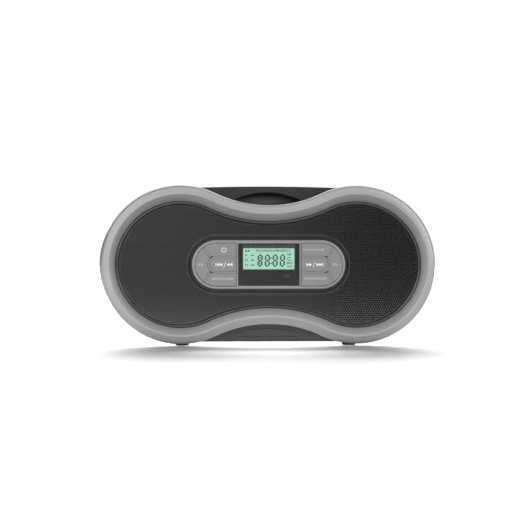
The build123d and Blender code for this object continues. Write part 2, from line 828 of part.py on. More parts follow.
CORE_H = 36.5
COIL_OUT = 10.0
COIL_MARGIN = 6.5
COIL_ROUND = 4.0
CORE_X0 = LOBE_X - 21.0
CORE_X1 = CORE_X0 + CORE_W
COIL_FAR = DEPTH - 67.0
COIL_NEAR = COIL_FAR - CORE_D - 2 * COIL_OUT
STRAP_T = 1.5
STRAP_OUT = 10.0
STRAP_INSET = 8.0
STRAP_SCREW = 6.0
TRANSFORMER_SCREWS = [
    ((CORE_X0 + CORE_X1) / 2, depth) for depth in (COIL_NEAR - STRAP_SCREW, COIL_FAR + STRAP_SCREW)
]
FERRITE_X = -LOBE_X - 27.0
FERRITE_Z = CABINET_TOP - 30.5
FERRITE_R = 5.0
FERRITE_GRIP = 2.0
WINDING_R = FERRITE_R + 1.6
WINDING_NEAR = 16.0
WINDING_FAR = 12.0
FERRITE_LENGTH = 100.0
FERRITE_FAR = DEPTH - 53.0
FERRITE_NEAR = FERRITE_FAR - FERRITE_LENGTH
CLIP_HALF = 8.0
CLIP_T = 6.0
HANDLE_HALF = POCKET_HALF + HANDLE_TAB
HANDLE_FAR = TRIM_DEPTH + HANDLE_T
POCKET_REAR = POCKET_DEPTH + POCKET_R
DECK_TOP = CABINET_TOP - PLATE


def cover_screw_places():
    sides = (-1, 1)
    return [on_lobe(side, CABINET_SCREW_R, angle) for side in sides for angle in CABINET_SCREW_ANGLES]


def lid_outline(grow):
    """Plan of the disc lid: a circle with a straight part at the hinge."""
    near = SPINDLE_DEPTH + LID_R / 2
    far = LID_REAR + grow
    half = LID_REAR_HALF + grow
    rear = Pos(0, (near + far) / 2) * Rectangle(2 * half, far - near)
    return Pos(0, SPINDLE_DEPTH) * Circle(LID_R + grow) + rear


def pocket(grow):
    """Round-bottomed finger pocket across the top, grown all round."""
    half = POCKET_HALF + grow
    trough = rod_x(POCKET_DEPTH, CABINET_TOP, POCKET_R + grow, -half, half)
    return trough - box(-half, half, 0, TRIM_DEPTH, 0, CABINET_TOP + POCKET_R + grow)


def handle_seats(grow, low):
    """Recesses in the top that take the two ends of the handle."""
    near = TRIM_DEPTH
    far = HANDLE_FAR + grow
    seats = []
    for side in (-1, 1):
        inner = side * (POCKET_HALF - 1)
        outer = side * (HANDLE_HALF + grow)
        x0, x1 = sorted((inner, outer))
        seats.append(box(x0, x1, near, far, low, CABINET_TOP + 1))
    return seats


def rear_cabinet():
    """Sleeve of the cabinet with its front flange and its top deck."""
    inner_r = CABINET_R - WALL
    outer = front_slab(stadium(CABINET_R), TRIM_DEPTH, COVER_START)
    hollow = front_slab(stadium(inner_r), TRIM_DEPTH + PLATE, COVER_START)
    inside = front_slab(stadium(inner_r + 0.5), TRIM_DEPTH, COVER_START)
    shell = outer - hollow - front_slab(peanut(FLANGE_INSET), TRIM_DEPTH, TRIM_DEPTH + PLATE)
    seat_low = CABINET_TOP - HANDLE_TAB_T
    added = [pocket(WALL) & outer]
    for seat in handle_seats(WALL, seat_low - WALL):
        added.append(seat & outer)
    floor_z = CABINET_BOTTOM + WALL - 0.5
    for x, depth in BOARD_SCREWS:
        added.append(rod_z(x, depth, STANDOFF_R, floor_z, BOARD_BOTTOM))
    for depth in (COIL_NEAR - STRAP_OUT, COIL_FAR):
        bed = box(CORE_X0, CORE_X1, depth, depth + STRAP_OUT, CABINET_BOTTOM, BOARD_BOTTOM)
        added.append(bed & inside)
    for x, z in cover_screw_places():
        web_angle = atan2(z - AXIS_Z, x - LOBE_X * (1 if x > 0 else -1))
        added.append(rod_y(x, z, BOSS_R, COVER_START - BOSS_LENGTH, COVER_START))
        web = box(0, WEB_LENGTH, COVER_START - BOSS_LENGTH, COVER_START, -WEB_HALF, WEB_HALF)
        added.append((Pos(x, 0, z) * Rot(0, -degrees(web_angle), 0) * web) & inside)
    for depth in (FERRITE_NEAR + 12, FERRITE_FAR - 18):
        clip_end = FERRITE_X + FERRITE_GRIP
        low = FERRITE_Z - CLIP_HALF
        clip = box(-LOBE_X - LOBE_R, clip_end, depth, depth + CLIP_T, low, FERRITE_Z + CLIP_HALF)
        added.append(clip & inside)
    removed = [pocket(0.0), front_slab(peanut(WALL), 0, TRIM_DEPTH)]
    removed += handle_seats(FIT, seat_low)
    removed.append(flat_slab(lid_outline(LID_SEAM), DECK_TOP - 1, CABINET_TOP + 1))
    half = LID_REAR_HALF + LID_SEAM
    swing_far = HINGE_DEPTH + SWING_R + FIT
    removed.append(box(-half, half, HINGE_DEPTH, swing_far, DECK_TOP - 1, CABINET_TOP + 1))
    for x, depth in BOARD_SCREWS + TRANSFORMER_SCREWS:
        removed.append(rod_z(x, depth, SMALL_SCREW_R, BOARD_BOTTOM - 6, BOARD_BOTTOM))
    for x, z in cover_screw_places():
        removed.append(rod_y(x, z, SCREW_R, COVER_START - SCREW_LENGTH - 2, COVER_START))
    for x, z in trim_screw_places():
        removed.append(rod_y(x, z, SMALL_SCREW_R, TRIM_DEPTH, TRIM_DEPTH + PLATE))
    for x, depth in deck_screw_places():
        removed.append(rod_z(x, depth, SMALL_SCREW_R, DECK_TOP, CABINET_TOP - 0.8))
    removed.append(rod_y(FERRITE_X, FERRITE_Z, FERRITE_R, FERRITE_NEAR, FERRITE_FAR))
    return shell + added - removed


def carry_handle():
    """Bar across the finger pocket, arched underneath and slightly crowned on top."""
    near = TRIM_DEPTH
    far = HANDLE_FAR
    half = HANDLE_HALF
    bar = box(-half, half, near, far, HANDLE_UNDER, CABINET_TOP)
    crown_r = (half**2 + HANDLE_CROWN**2) / (2 * HANDLE_CROWN)
    crown_z = CABINET_TOP + HANDLE_CROWN - crown_r
    cap = rod_y(0, crown_z, crown_r, near, far) & box(-half, half, near, far, CABINET_TOP, 2 * AXIS_Z)
    arch = rod_y(0, HANDLE_ARCH_TOP - HANDLE_ARCH_R, HANDLE_ARCH_R, near, far)
    arch = arch & box(-HANDLE_ARCH_R, HANDLE_ARCH_R, near, far, AXIS_Z, CABINET_TOP)
    reach = POCKET_HALF - HANDLE_ARCH_MARGIN
    arch = arch & box(-reach, reach, near, far, AXIS_Z, CABINET_TOP)
    seat_low = CABINET_TOP - HANDLE_TAB_T
    ends = []
    for side in (-1, 1):
        x0, x1 = sorted((side * (POCKET_HALF - FIT), side * (half + 1)))
        ends.append(box(x0, x1, near, far, 0, seat_low))
    return bar + cap - arch - ends - pocket_floor()


def pocket_floor():
    """Everything below the pocket's floor, kept a fit away from the handle."""
    half = POCKET_HALF
    block = box(-half, half, TRIM_DEPTH - 1, HANDLE_FAR + 1, 0, CABINET_TOP)
    return block - rod_x(POCKET_DEPTH, CABINET_TOP, POCKET_R - FIT, -half - 1, half + 1)


# Disc well
HINGE_Z = CABINET_TOP - HINGE_DROP
SWING_R = sqrt((LID_REAR - HINGE_DEPTH) ** 2 + HINGE_DROP**2)
TROUGH_LOW = HINGE_Z - SWING_R - 0.8
TROUGH_NEAR = HINGE_DEPTH - 6.0
LUG_X = 24.0
LUG_FRONT = 2.0
LUG_REAR = 1.5
MECH_SCREWS = [(-22.0, -24.0), (-22.0, 24.0), (52.0, -27.0), (52.0, 27.0)]
DAMPER_R = 5.0
DAMPER_HOLE_R = 2.3
MECH_HEAD_R = 3.6
SLOT_HALF = 7.2
LENS_HALF = 4.0
CATCH_HALF = 6.0
CATCH_DEPTH = SPINDLE_DEPTH - WELL_R


def deck_screw_places():
    x = LID_R + DECK_SCREW_OUT
    return [(side * x, SPINDLE_DEPTH + way * DECK_SCREW_SPREAD) for side in (-1, 1) for way in (-1, 1)]


def slot_far():
    return LENS_X + SLED_TRAVEL + LENS_HALF + 0.8


def cd_deck():
    """Disc well with its rim, hinge trough, floor slot and mounting bosses."""
    rear_half = LID_REAR_HALF + LID_SEAM
    rear_far = HINGE_DEPTH + SWING_R + FIT
    rim = Pos(0, SPINDLE_DEPTH) * Circle(DECK_FLANGE_R)
    keep_near = POCKET_REAR + WALL + FIT
    keep = Pos(0, (keep_near + COVER_START) / 2) * Rectangle(4 * WELL_R, COVER_START - keep_near)
    flange = flat_slab(rim & keep, DECK_TOP - PLATE, DECK_TOP)
    tub = rod_z(0, SPINDLE_DEPTH, WELL_R + WELL_WALL, WELL_FLOOR - WELL_WALL, DECK_TOP)
    trough = box(
        -rear_half - WELL_WALL, rear_half + WELL_WALL,
        TROUGH_NEAR - WELL_WALL, rear_far + WELL_WALL,
        TROUGH_LOW - WELL_WALL, DECK_TOP,
    )
    bosses = []
    holes = [rod_z(0, SPINDLE_DEPTH, WELL_R, WELL_FLOOR, CABINET_TOP)]
    holes.append(box(-rear_half, rear_half, TROUGH_NEAR, rear_far, TROUGH_LOW, CABINET_TOP))
    holes.append(rod_z(0, SPINDLE_DEPTH, TURNTABLE_R + 2, WELL_FLOOR - WELL_WALL, WELL_FLOOR))
    near = SPINDLE_DEPTH - SLOT_HALF
    far = SPINDLE_DEPTH + SLOT_HALF
    holes.append(box(0, slot_far(), near, far, WELL_FLOOR - WELL_WALL, WELL_FLOOR + 1))
    for x, offset in MECH_SCREWS:
        depth = SPINDLE_DEPTH + offset
        bosses.append(rod_z(x, depth, STANDOFF_R, CHASSIS_TOP + DAMPER_T, WELL_FLOOR))
        holes.append(rod_z(x, depth, SMALL_SCREW_R, CHASSIS_TOP + DAMPER_T, WELL_FLOOR - 1))
    for x, depth in deck_screw_places():
        holes.append(rod_z(x, depth, SMALL_SCREW_R, DECK_TOP - PLATE, DECK_TOP))
    lugs = []
    for side in (-1, 1):
        x0, x1 = sorted((side * LUG_X, side * rear_half))
        lug_near = HINGE_DEPTH - LUG_FRONT
        lugs.append(box(x0, x1, lug_near, HINGE_DEPTH + LUG_REAR, TROUGH_LOW, HINGE_Z + LUG_TOP))
        holes.append(rod_x(HINGE_DEPTH, HINGE_Z, HINGE_PIN_R, x0 - 1, x1 + 1))
    shell = flange + [tub, trough] + bosses - holes[:4]
    return shell + lugs - holes[4:]


def hinge_pins():
    pins = []
    for side in (-1, 1):
        x0, x1 = sorted((side * (LUG_X - 7), side * (LID_REAR_HALF - 0.5)))
        pins.append(rod_x(HINGE_DEPTH, HINGE_Z, HINGE_PIN_R, x0, x1))
    return group(pins)


def cd_lid():
    """Round lid with a window, a locating rim, hinge knuckles and a catch tongue."""
    low = CABINET_TOP - LID_T
    plate = flat_slab(lid_outline(0.0), low, CABINET_TOP)
    top_edges = plate.edges().group_by(Axis.Z)[-1]
    plate = chamfer(top_edges, LID_CHAMFER)
    rim_r = WELL_R - LID_RIM_GAP
    rim = rod_z(0, SPINDLE_DEPTH, rim_r, low - LID_RIM_DROP, low)
    rim = rim - rod_z(0, SPINDLE_DEPTH, rim_r - LID_RIM_T, low - LID_RIM_DROP, low)
    rim = rim - box(-LID_R, LID_R, TROUGH_NEAR - 2.5, DEPTH, 0, CABINET_TOP)
    knuckles = []
    holes = [rod_z(0, SPINDLE_DEPTH, LENS_WINDOW_R, low, CABINET_TOP)]
    seat_r = LENS_WINDOW_R + LENS_WINDOW_LAP
    holes[0] = holes[0] + rod_z(0, SPINDLE_DEPTH, seat_r, CABINET_TOP - LENS_WINDOW_T, CABINET_TOP)
    for side in (-1, 1):
        outer = LUG_X - KNUCKLE_GAP
        x0, x1 = sorted((side * outer, side * (outer - KNUCKLE_LENGTH)))
        barrel = rod_x(HINGE_DEPTH, HINGE_Z, KNUCKLE_R, x0, x1)
        neck = box(x0, x1, HINGE_DEPTH - KNUCKLE_R, HINGE_DEPTH, HINGE_Z, low + 0.5)
        knuckles.append(barrel + neck)
        holes.append(rod_x(HINGE_DEPTH, HINGE_Z, HINGE_PIN_R + RUNNING, x0, x1))
    for side in (-1, 1):
        x0, x1 = sorted((side * (LUG_X - KNUCKLE_GAP), side * (LID_REAR_HALF + 1)))
        holes.append(rod_x(HINGE_DEPTH, HINGE_Z, LUG_ROOM, x0, x1))
    tongue = box(-CATCH_HALF, CATCH_HALF, CATCH_DEPTH + 2.1, CATCH_DEPTH + 3.4, low - 6, low)
    return plate + [rim, tongue] + knuckles - holes


def lid_window():
    """Clear disc let into the lid."""
    ledge = CABINET_TOP - LENS_WINDOW_T
    outer_r = LENS_WINDOW_R + LENS_WINDOW_LAP - LENS_WINDOW_FIT
    disc = rod_z(0, SPINDLE_DEPTH, outer_r, ledge, CABINET_TOP - LENS_WINDOW_FIT)
    return disc + rod_z(0, SPINDLE_DEPTH, LENS_WINDOW_R - LENS_WINDOW_FIT, CABINET_TOP - LID_T, ledge)


def lid_catch():
    """Spring clip on the well's front wall that holds the lid's tongue."""
    sagitta = WELL_R - sqrt(WELL_R**2 - CATCH_HALF**2)
    near = CATCH_DEPTH + sagitta + 0.65
    low = WELL_FLOOR + 4
    plate = box(-CATCH_HALF, CATCH_HALF, near, near + 0.6, low, DECK_TOP - 3)
    foot = box(-CATCH_HALF, CATCH_HALF, near - 0.6, near, low, low + 3)
    return plate + foot


# Disc drive
CHASSIS_LOW = CHASSIS_TOP - CHASSIS_T
MOTOR_TOP = CHASSIS_LOW - FIT
PITCH_R = MODULE * PINION_TEETH / 2
WHEEL_R = MODULE * WHEEL_TEETH / 2
SLED_PINION_R = MODULE * MOTOR_TEETH / 2
GEAR_DEPTH = RACK_DEPTH - PITCH_R
MESH_DISTANCE = WHEEL_R + SLED_PINION_R
DRIVE_X = GEAR_X + MESH_DISTANCE * cos(radians(MESH_ANGLE))
DRIVE_DEPTH = GEAR_DEPTH + MESH_DISTANCE * sin(radians(MESH_ANGLE))
DRIVE_R = 8.0
POST_R = 1.5
PRESSURE = radians(25)
ADDENDUM = 0.8 * MODULE
DEDENDUM = 1.15 * MODULE
BACKLASH = 0.12
WHEEL_DROP = 15.7
WHEEL_LOW = CHASSIS_TOP - WHEEL_DROP
WHEEL_T = 2.2
RACK_DROP = 12.5
RACK_LOW = CHASSIS_TOP - RACK_DROP
RACK_T = 3.0
FLANK_STEPS = 4
RACK_BACK = 1.7
ROD_START = sqrt(MOTOR_R**2 - (ROD_SPREAD - ROD_R - BRACKET_LIP) ** 2) + 0.5
ROD_END = SLED_START + SLED_LENGTH + SLED_TRAVEL + 8.0
CHASSIS_NEAR = DRIVE_DEPTH - DRIVE_R - 2
CHASSIS_FAR = SPINDLE_DEPTH + CHASSIS_BACK


def involute(angle):
    return tan(angle) - angle


def gear_face(teeth, phase):
    """Involute gear outline centred on the origin, with a tooth at the phase angle."""
    pitch_r = MODULE * teeth / 2
    base_r = pitch_r * cos(PRESSURE)
    tip_r = pitch_r + ADDENDUM
    root_r = pitch_r - DEDENDUM
    half_tooth = pi / (2 * teeth) - BACKLASH / (2 * pitch_r)
    start_r = max(base_r, root_r) + 0.01
    radii = [root_r] if root_r < start_r - 0.02 else []
    radii += [start_r + (tip_r - start_r) * k / FLANK_STEPS for k in range(FLANK_STEPS + 1)]
    rising = []
    for radius in radii:
        roll = acos(base_r / max(radius, base_r))
        rising.append((radius, half_tooth + involute(PRESSURE) - involute(roll)))
    points = []
    for tooth in range(teeth):
        middle = radians(phase) + 2 * pi * tooth / teeth
        for radius, half in rising:
            points.append((radius * cos(middle - half), radius * sin(middle - half)))
        for radius, half in reversed(rising):
            points.append((radius * cos(middle + half), radius * sin(middle + half)))
    return make_face(Polyline(*points, close=True))


def rack_face(x0, x1):
    """Rack outline with teeth towards the front and a gap opposite the pinion."""
    pitch = pi * MODULE
    slope = tan(PRESSURE)
    tip = RACK_DEPTH - ADDENDUM
    root = RACK_DEPTH + DEDENDUM
    half_tip = pitch / 4 - BACKLASH / 2 - ADDENDUM * slope
    half_root = pitch / 4 - BACKLASH / 2 + DEDENDUM * slope
    points = [(x0, RACK_DEPTH + RACK_BACK), (x0, root)]
    first = int((x0 - GEAR_X) / pitch)
    count = int((x1 - x0) / pitch) - 1
    for k in range(first, first + count):
        middle = GEAR_X + (k + 0.5) * pitch
        if middle - half_root < x0 or middle + half_root > x1:
            continue
        points.append((middle - half_root, root))
        points.append((middle - half_tip, tip))
        points.append((middle + half_tip, tip))
        points.append((middle + half_root, root))
    points += [(x1, root), (x1, RACK_DEPTH + RACK_BACK)]
    return make_face(Polyline(*points, close=True))


def mech_chassis():
    """Plate that carries the spindle motor, the rods and the sled's gears."""
    plate = box(-CHASSIS_LEFT, ROD_END + 2, CHASSIS_NEAR, CHASSIS_FAR, CHASSIS_LOW, CHASSIS_TOP)
    plate = fillet(plate.edges().filter_by(Axis.Z), CHASSIS_ROUND)
    holes = [rod_z(0, SPINDLE_DEPTH, 3.0, CHASSIS_LOW, CHASSIS_TOP)]
    near = SPINDLE_DEPTH - SLOT_HALF
    far = SPINDLE_DEPTH + SLOT_HALF
    holes.append(box(LENS_X - LENS_HALF - 1, slot_far(), near, far, CHASSIS_LOW, CHASSIS_TOP))
    for x, offset in MECH_SCREWS:
        holes.append(rod_z(x, SPINDLE_DEPTH + offset, DAMPER_HOLE_R, CHASSIS_LOW, CHASSIS_TOP))
    brackets = []
    for side in (-1, 1):
        depth = SPINDLE_DEPTH + side * ROD_SPREAD
        reach = ROD_R + BRACKET_LIP
        for x in (ROD_START, ROD_END - BRACKET_T):
            end = x + BRACKET_T
            brackets.append(box(x, end, depth - reach, depth + reach, ROD_Z - reach, CHASSIS_LOW))
            holes.append(rod_x(depth, ROD_Z, ROD_R, x, end))
    post = rod_z(GEAR_X, GEAR_DEPTH, POST_R, WHEEL_LOW - 0.6, CHASSIS_LOW)
    collar = rod_z(GEAR_X, GEAR_DEPTH, 3.0, RACK_LOW + RACK_T + 1.0, CHASSIS_LOW)
    holes.append(rod_z(DRIVE_X, DRIVE_DEPTH, 2.0, CHASSIS_LOW, CHASSIS_TOP))
    return plate + brackets + [post, collar] - holes


def mech_dampers():
    """Rubber rings between the well's bosses and the chassis."""
    rings = []
    for x, offset in MECH_SCREWS:
        depth = SPINDLE_DEPTH + offset
        ring = rod_z(x, depth, DAMPER_R, CHASSIS_TOP, CHASSIS_TOP + DAMPER_T)
        rings.append(ring - rod_z(x, depth, DAMPER_HOLE_R, CHASSIS_TOP, CHASSIS_TOP + DAMPER_T))
    return group(rings)


def mech_screws():
    """Shouldered screws that hang the chassis from the well."""
    screws = []
    for x, offset in MECH_SCREWS:
        depth = SPINDLE_DEPTH + offset
        seat = CHASSIS_TOP + DAMPER_T
        head = rod_z(x, depth, MECH_HEAD_R, CHASSIS_LOW - SMALL_HEAD_T, CHASSIS_LOW)
        shoulder = rod_z(x, depth, DAMPER_HOLE_R - 0.4, CHASSIS_LOW, seat)
        screws.append(head + [shoulder, rod_z(x, depth, SMALL_SCREW_R, seat, WELL_FLOOR - 1.5)])
    return group(screws)


def spindle_motor():
    low = MOTOR_TOP - MOTOR_H
    can = rod_z(0, SPINDLE_DEPTH, MOTOR_R, low, MOTOR_TOP)
    neck = rod_z(0, SPINDLE_DEPTH, 2.7, MOTOR_TOP, CHASSIS_TOP + 0.8)
    bore = rod_z(0, SPINDLE_DEPTH, SHAFT_R + RUNNING, low + 1, CHASSIS_TOP + 0.8)
    seats = []
    for angle in (90, 270):
        x = 8.0 * cos(radians(angle))
        depth = SPINDLE_DEPTH + 8.0 * sin(radians(angle))
        seats.append(rod_z(x, depth, 1.6, MOTOR_TOP, CHASSIS_LOW))
    return can + [neck] + seats - bore


def spindle_shaft():
    return rod_z(0, SPINDLE_DEPTH, SHAFT_R, MOTOR_TOP - MOTOR_H + 1.3, SHAFT_TOP)


def turntable():
    """Disc platform with its centring hub and three spring balls."""
    pad_low = DISC_Z - PAD_T
    low = pad_low - TURNTABLE_T
    platform = rod_z(0, SPINDLE_DEPTH, TURNTABLE_R, low, pad_low)
    pad = rod_z(0, SPINDLE_DEPTH, TURNTABLE_R - 0.5, pad_low, DISC_Z)
    plane = Plane(origin=(0, FRONT + SPINDLE_DEPTH, 0), x_dir=(1, 0, 0), z_dir=(0, -1, 0))
    top = DISC_Z + HUB_H
    shoulder = DISC_Z + HUB_SHOULDER
    points = [(0, DISC_Z), (HUB_R, DISC_Z), (HUB_R, shoulder), (HUB_R - HUB_CHAMFER, top), (0, top)]
    axis = Axis((0, FRONT + SPINDLE_DEPTH, 0), (0, 0, 1))
    hub = revolve(plane * make_face(Polyline(*points, close=True)), axis=axis)
    balls = []
    for k in range(BALLS):
        angle = pi / 2 + 2 * pi * k / BALLS
        x = (HUB_R - BALL_SUNK) * cos(angle)
        y = FRONT + SPINDLE_DEPTH + (HUB_R - BALL_SUNK) * sin(angle)
        balls.append(Pos(x, y, DISC_Z + BALL_Z) * Sphere(BALL_R))
    bore = rod_z(0, SPINDLE_DEPTH, SHAFT_R, low, SHAFT_TOP)
    return platform + [pad, hub] + balls - bore


def guide_rods():
    rods = []
    for side in (-1, 1):
        rods.append(rod_x(SPINDLE_DEPTH + side * ROD_SPREAD, ROD_Z, ROD_R, ROD_START, ROD_END))
    return group(rods)


def pickup_sled():
    """Sled on the two rods, with the rack along its front side and the turret of the lens."""
    x0 = SLED_START
    x1 = SLED_START + SLED_LENGTH
    half = ROD_SPREAD + 3.5
    body = box(x0, x1, RACK_DEPTH + 1.3, SPINDLE_DEPTH + half, RACK_LOW, CHASSIS_LOW - 1)
    turret = box(
        LENS_X - LENS_HALF, LENS_X + LENS_HALF,
        SPINDLE_DEPTH - 6, SPINDLE_DEPTH + 6,
        CHASSIS_LOW - 1, WELL_FLOOR + 0.3,
    )
    rack = flat_slab(rack_face(GEAR_X - SLED_TRAVEL - 6, GEAR_X + 6), RACK_LOW, RACK_LOW + RACK_T)
    bores = []
    for side in (-1, 1):
        depth = SPINDLE_DEPTH + side * ROD_SPREAD
        bores.append(rod_x(depth, ROD_Z, ROD_R + RUNNING, x0, x1))
    return body + [turret, rack] - bores


def pickup_lens():
    """Lens in its ring on top of the turret."""
    low = WELL_FLOOR + 0.3
    ring = rod_z(LENS_X, SPINDLE_DEPTH, 3.2, low, low + 1.5)
    dome = Pos(LENS_X, FRONT + SPINDLE_DEPTH, low + 0.6) * Sphere(2.0)
    above = box(LENS_X - 3, LENS_X + 3, SPINDLE_DEPTH - 3, SPINDLE_DEPTH + 3, low + 1.4, low + 4)
    return ring + (dome & above)


def sled_gear():
    """Wheel driven by the motor, with the small pinion that drives the rack."""
    wheel = extrude(gear_face(WHEEL_TEETH, 0.0), amount=WHEEL_T)
    pinion = extrude(gear_face(PINION_TEETH, 90.0), amount=RACK_LOW + RACK_T - WHEEL_LOW - WHEEL_T)
    pinion = Pos(0, 0, WHEEL_T) * pinion
    bore = Cylinder(POST_R + RUNNING, 40)
    return Pos(GEAR_X, FRONT + GEAR_DEPTH, WHEEL_LOW) * (wheel + pinion - bore)


def motor_pinion():
    """Pinion and shaft of the sled motor, with a gap turned to the wheel."""
    facing = MESH_ANGLE - 180.0
    half_pitch = 180.0 / MOTOR_TEETH
    face = gear_face(MOTOR_TEETH, facing - half_pitch)
    pinion = Pos(DRIVE_X, FRONT + DRIVE_DEPTH, WHEEL_LOW - 0.3) * extrude(face, amount=WHEEL_T + 0.6)
    return pinion + rod_z(DRIVE_X, DRIVE_DEPTH, SHAFT_R, WHEEL_LOW, MOTOR_TOP - 2)


def sled_motor():
    low = WHEEL_LOW + WHEEL_T + 1.2
    can = rod_z(DRIVE_X, DRIVE_DEPTH, DRIVE_R, low, CHASSIS_LOW)
    return can - rod_z(DRIVE_X, DRIVE_DEPTH, SHAFT_R + RUNNING, low, MOTOR_TOP - 1)


# Electrics
CANS = 3
CAN_START = 23.0
CAN_PITCH = 20.0
CAN_R = 7.0
CAN_H = 24.0
CHIPS = 2
CHIP_START = 25.0
CHIP_PITCH = 34.0
CHIP_NEAR = 48.0
CHIP_W = 20.0
CHIP_T = 2.5
SINK_INSET = 23.0
SINK_START = 22.0
SINK_T = 4.0
SINK_H = 30.0
FINS = 7
FIN_PITCH = 9.0
FIN_T = 2.0
FIN_W = 8.0
PLUGS = 3
PLUG_START = 15.0
PLUG_PITCH = 24.0
PLUG_FAR = 14.0
PLUG_W = 14.0
PLUG_D = 10.0
PLUG_H = 11.0
SCREW_GRIP = 5.0


def main_board():
    board = box(BOARD_X0, BOARD_X1, BOARD_NEAR, BOARD_FAR, BOARD_BOTTOM, BOARD_BOTTOM + BOARD_T)
    return board - [rod_z(x, depth, SMALL_SCREW_R + 0.2, 0, AXIS_Z) for x, depth in BOARD_SCREWS]


def board_components():
    """Chips, capacitors and the heat sink standing on the main board."""
    top = BOARD_BOTTOM + BOARD_T
    pieces = []
    for k in range(CANS):
        x = BOARD_X0 + CAN_START + CAN_PITCH * k
        pieces.append(rod_z(x, BOARD_NEAR + SINK_START, CAN_R, top, top + CAN_H))
    for k in range(CHIPS):
        x = BOARD_X0 + CHIP_START + CHIP_PITCH * k
        near = BOARD_NEAR + CHIP_NEAR
        pieces.append(box(x, x + CHIP_W, near, near + CHIP_W, top, top + CHIP_T))
    sink_x = BOARD_X1 - SINK_INSET
    sink_near = BOARD_NEAR + SINK_START
    sink_far = sink_near + FIN_PITCH * (FINS - 1)
    sink = box(sink_x, sink_x + SINK_T, sink_near, sink_far, top, top + SINK_H)
    fins = []
    for k in range(FINS):
        near = sink_near + FIN_PITCH * k
        fins.append(box(sink_x + SINK_T, sink_x + SINK_T + FIN_W, near, near + FIN_T, top, top + SINK_H))
    pieces.append(sink + fins)
    for k in range(PLUGS):
        x = BOARD_X0 + PLUG_START + PLUG_PITCH * k
        far = BOARD_FAR - PLUG_FAR
        pieces.append(box(x, x + PLUG_W, far - PLUG_D, far, top, top + PLUG_H))
    return group(pieces)


def inner_screws():
    """Small screws of the main board, the transformer and the well."""
    screws = []
    top = BOARD_BOTTOM + BOARD_T
    for x, depth in BOARD_SCREWS:
        shank = rod_z(x, depth, SMALL_SCREW_R, BOARD_BOTTOM - SCREW_GRIP, top)
        screws.append(shank + rod_z(x, depth, SMALL_HEAD_R, top, top + SMALL_HEAD_T))
    for x, depth in TRANSFORMER_SCREWS:
        top = BOARD_BOTTOM + STRAP_T
        shank = rod_z(x, depth, SMALL_SCREW_R, BOARD_BOTTOM - SCREW_GRIP, top)
        screws.append(shank + rod_z(x, depth, SMALL_HEAD_R, top, top + SMALL_HEAD_T))
    for x, depth in deck_screw_places():
        low = DECK_TOP - PLATE
        shank = rod_z(x, depth, SMALL_SCREW_R, low, CABINET_TOP - 1)
        screws.append(shank + rod_z(x, depth, SMALL_HEAD_R, low - SMALL_HEAD_T, low))
    return screws


def power_transformer():
    """Laminated core with its winding, on a strap with two feet."""
    low = BOARD_BOTTOM
    seat = low + STRAP_T
    strap_near = COIL_NEAR - STRAP_OUT
    strap_far = COIL_FAR + STRAP_OUT
    strap = box(CORE_X0 + STRAP_INSET, CORE_X1 - STRAP_INSET, strap_near, strap_far, low, seat)
    core = box(CORE_X0, CORE_X1, COIL_NEAR + COIL_OUT, COIL_FAR - COIL_OUT, seat, seat + CORE_H)
    coil_low = seat + COIL_MARGIN
    coil_high = seat + CORE_H - COIL_MARGIN
    inset = STRAP_INSET + 1
    coil = box(CORE_X0 + inset, CORE_X1 - inset, COIL_NEAR, COIL_FAR, coil_low, coil_high)
    coil = fillet(coil.edges().filter_by(Axis.Z), COIL_ROUND)
    holes = [rod_z(x, depth, SMALL_SCREW_R + 0.2, low, seat) for x, depth in TRANSFORMER_SCREWS]
    return strap + [core, coil] - holes


def power_inlet():
    """Two-pin mains socket in the back, with its cavity open to the rear."""
    far = DEPTH - INLET_SUNK
    near = far - INLET_LENGTH
    flange_far = DEPTH - PLATE
    place = Pos(SOCKET_X, SOCKET_Z)
    neck = place * Rectangle(INLET_W + 2 * INLET_WALL, INLET_H + 2 * INLET_WALL)
    flange = place * Rectangle(INLET_W + 2 * INLET_FLANGE, INLET_H + 2 * INLET_FLANGE)
    mouth = place * RectangleRounded(INLET_W, INLET_H, INLET_ROUND)
    body = front_slab(neck, near, far) + front_slab(flange, flange_far - SOCKET_FLANGE_T, flange_far)
    pins = []
    for side in (-1, 1):
        x = SOCKET_X + side * INLET_PIN_X
        pins.append(rod_y(x, SOCKET_Z, INLET_PIN_R, near + INLET_BASE - 1, far - 2))
    return body - front_slab(mouth, near + INLET_BASE, far) + pins


def headphone_jack():
    """Stereo socket in the back, with its bore open to the rear."""
    far = DEPTH - JACK_SUNK
    body_far = DEPTH - PLATE
    nose = rod_y(-SOCKET_X, SOCKET_Z, JACK_NOSE_R, body_far, far)
    low = SOCKET_Z - JACK_HALF + 1
    high = SOCKET_Z + JACK_HALF - 1
    body = box(-SOCKET_X - JACK_HALF, -SOCKET_X + JACK_HALF, body_far - JACK_LENGTH, body_far, low, high)
    return body + nose - rod_y(-SOCKET_X, SOCKET_Z, JACK_R, far - JACK_LENGTH, far)


def ferrite_rod():
    """Medium-wave aerial: a ferrite rod with its coil."""
    rod = rod_y(FERRITE_X, FERRITE_Z, FERRITE_R, FERRITE_NEAR, FERRITE_FAR)
    middle = (FERRITE_NEAR + FERRITE_FAR) / 2
    return rod + rod_y(FERRITE_X, FERRITE_Z, WINDING_R, middle - WINDING_NEAR, middle + WINDING_FAR)


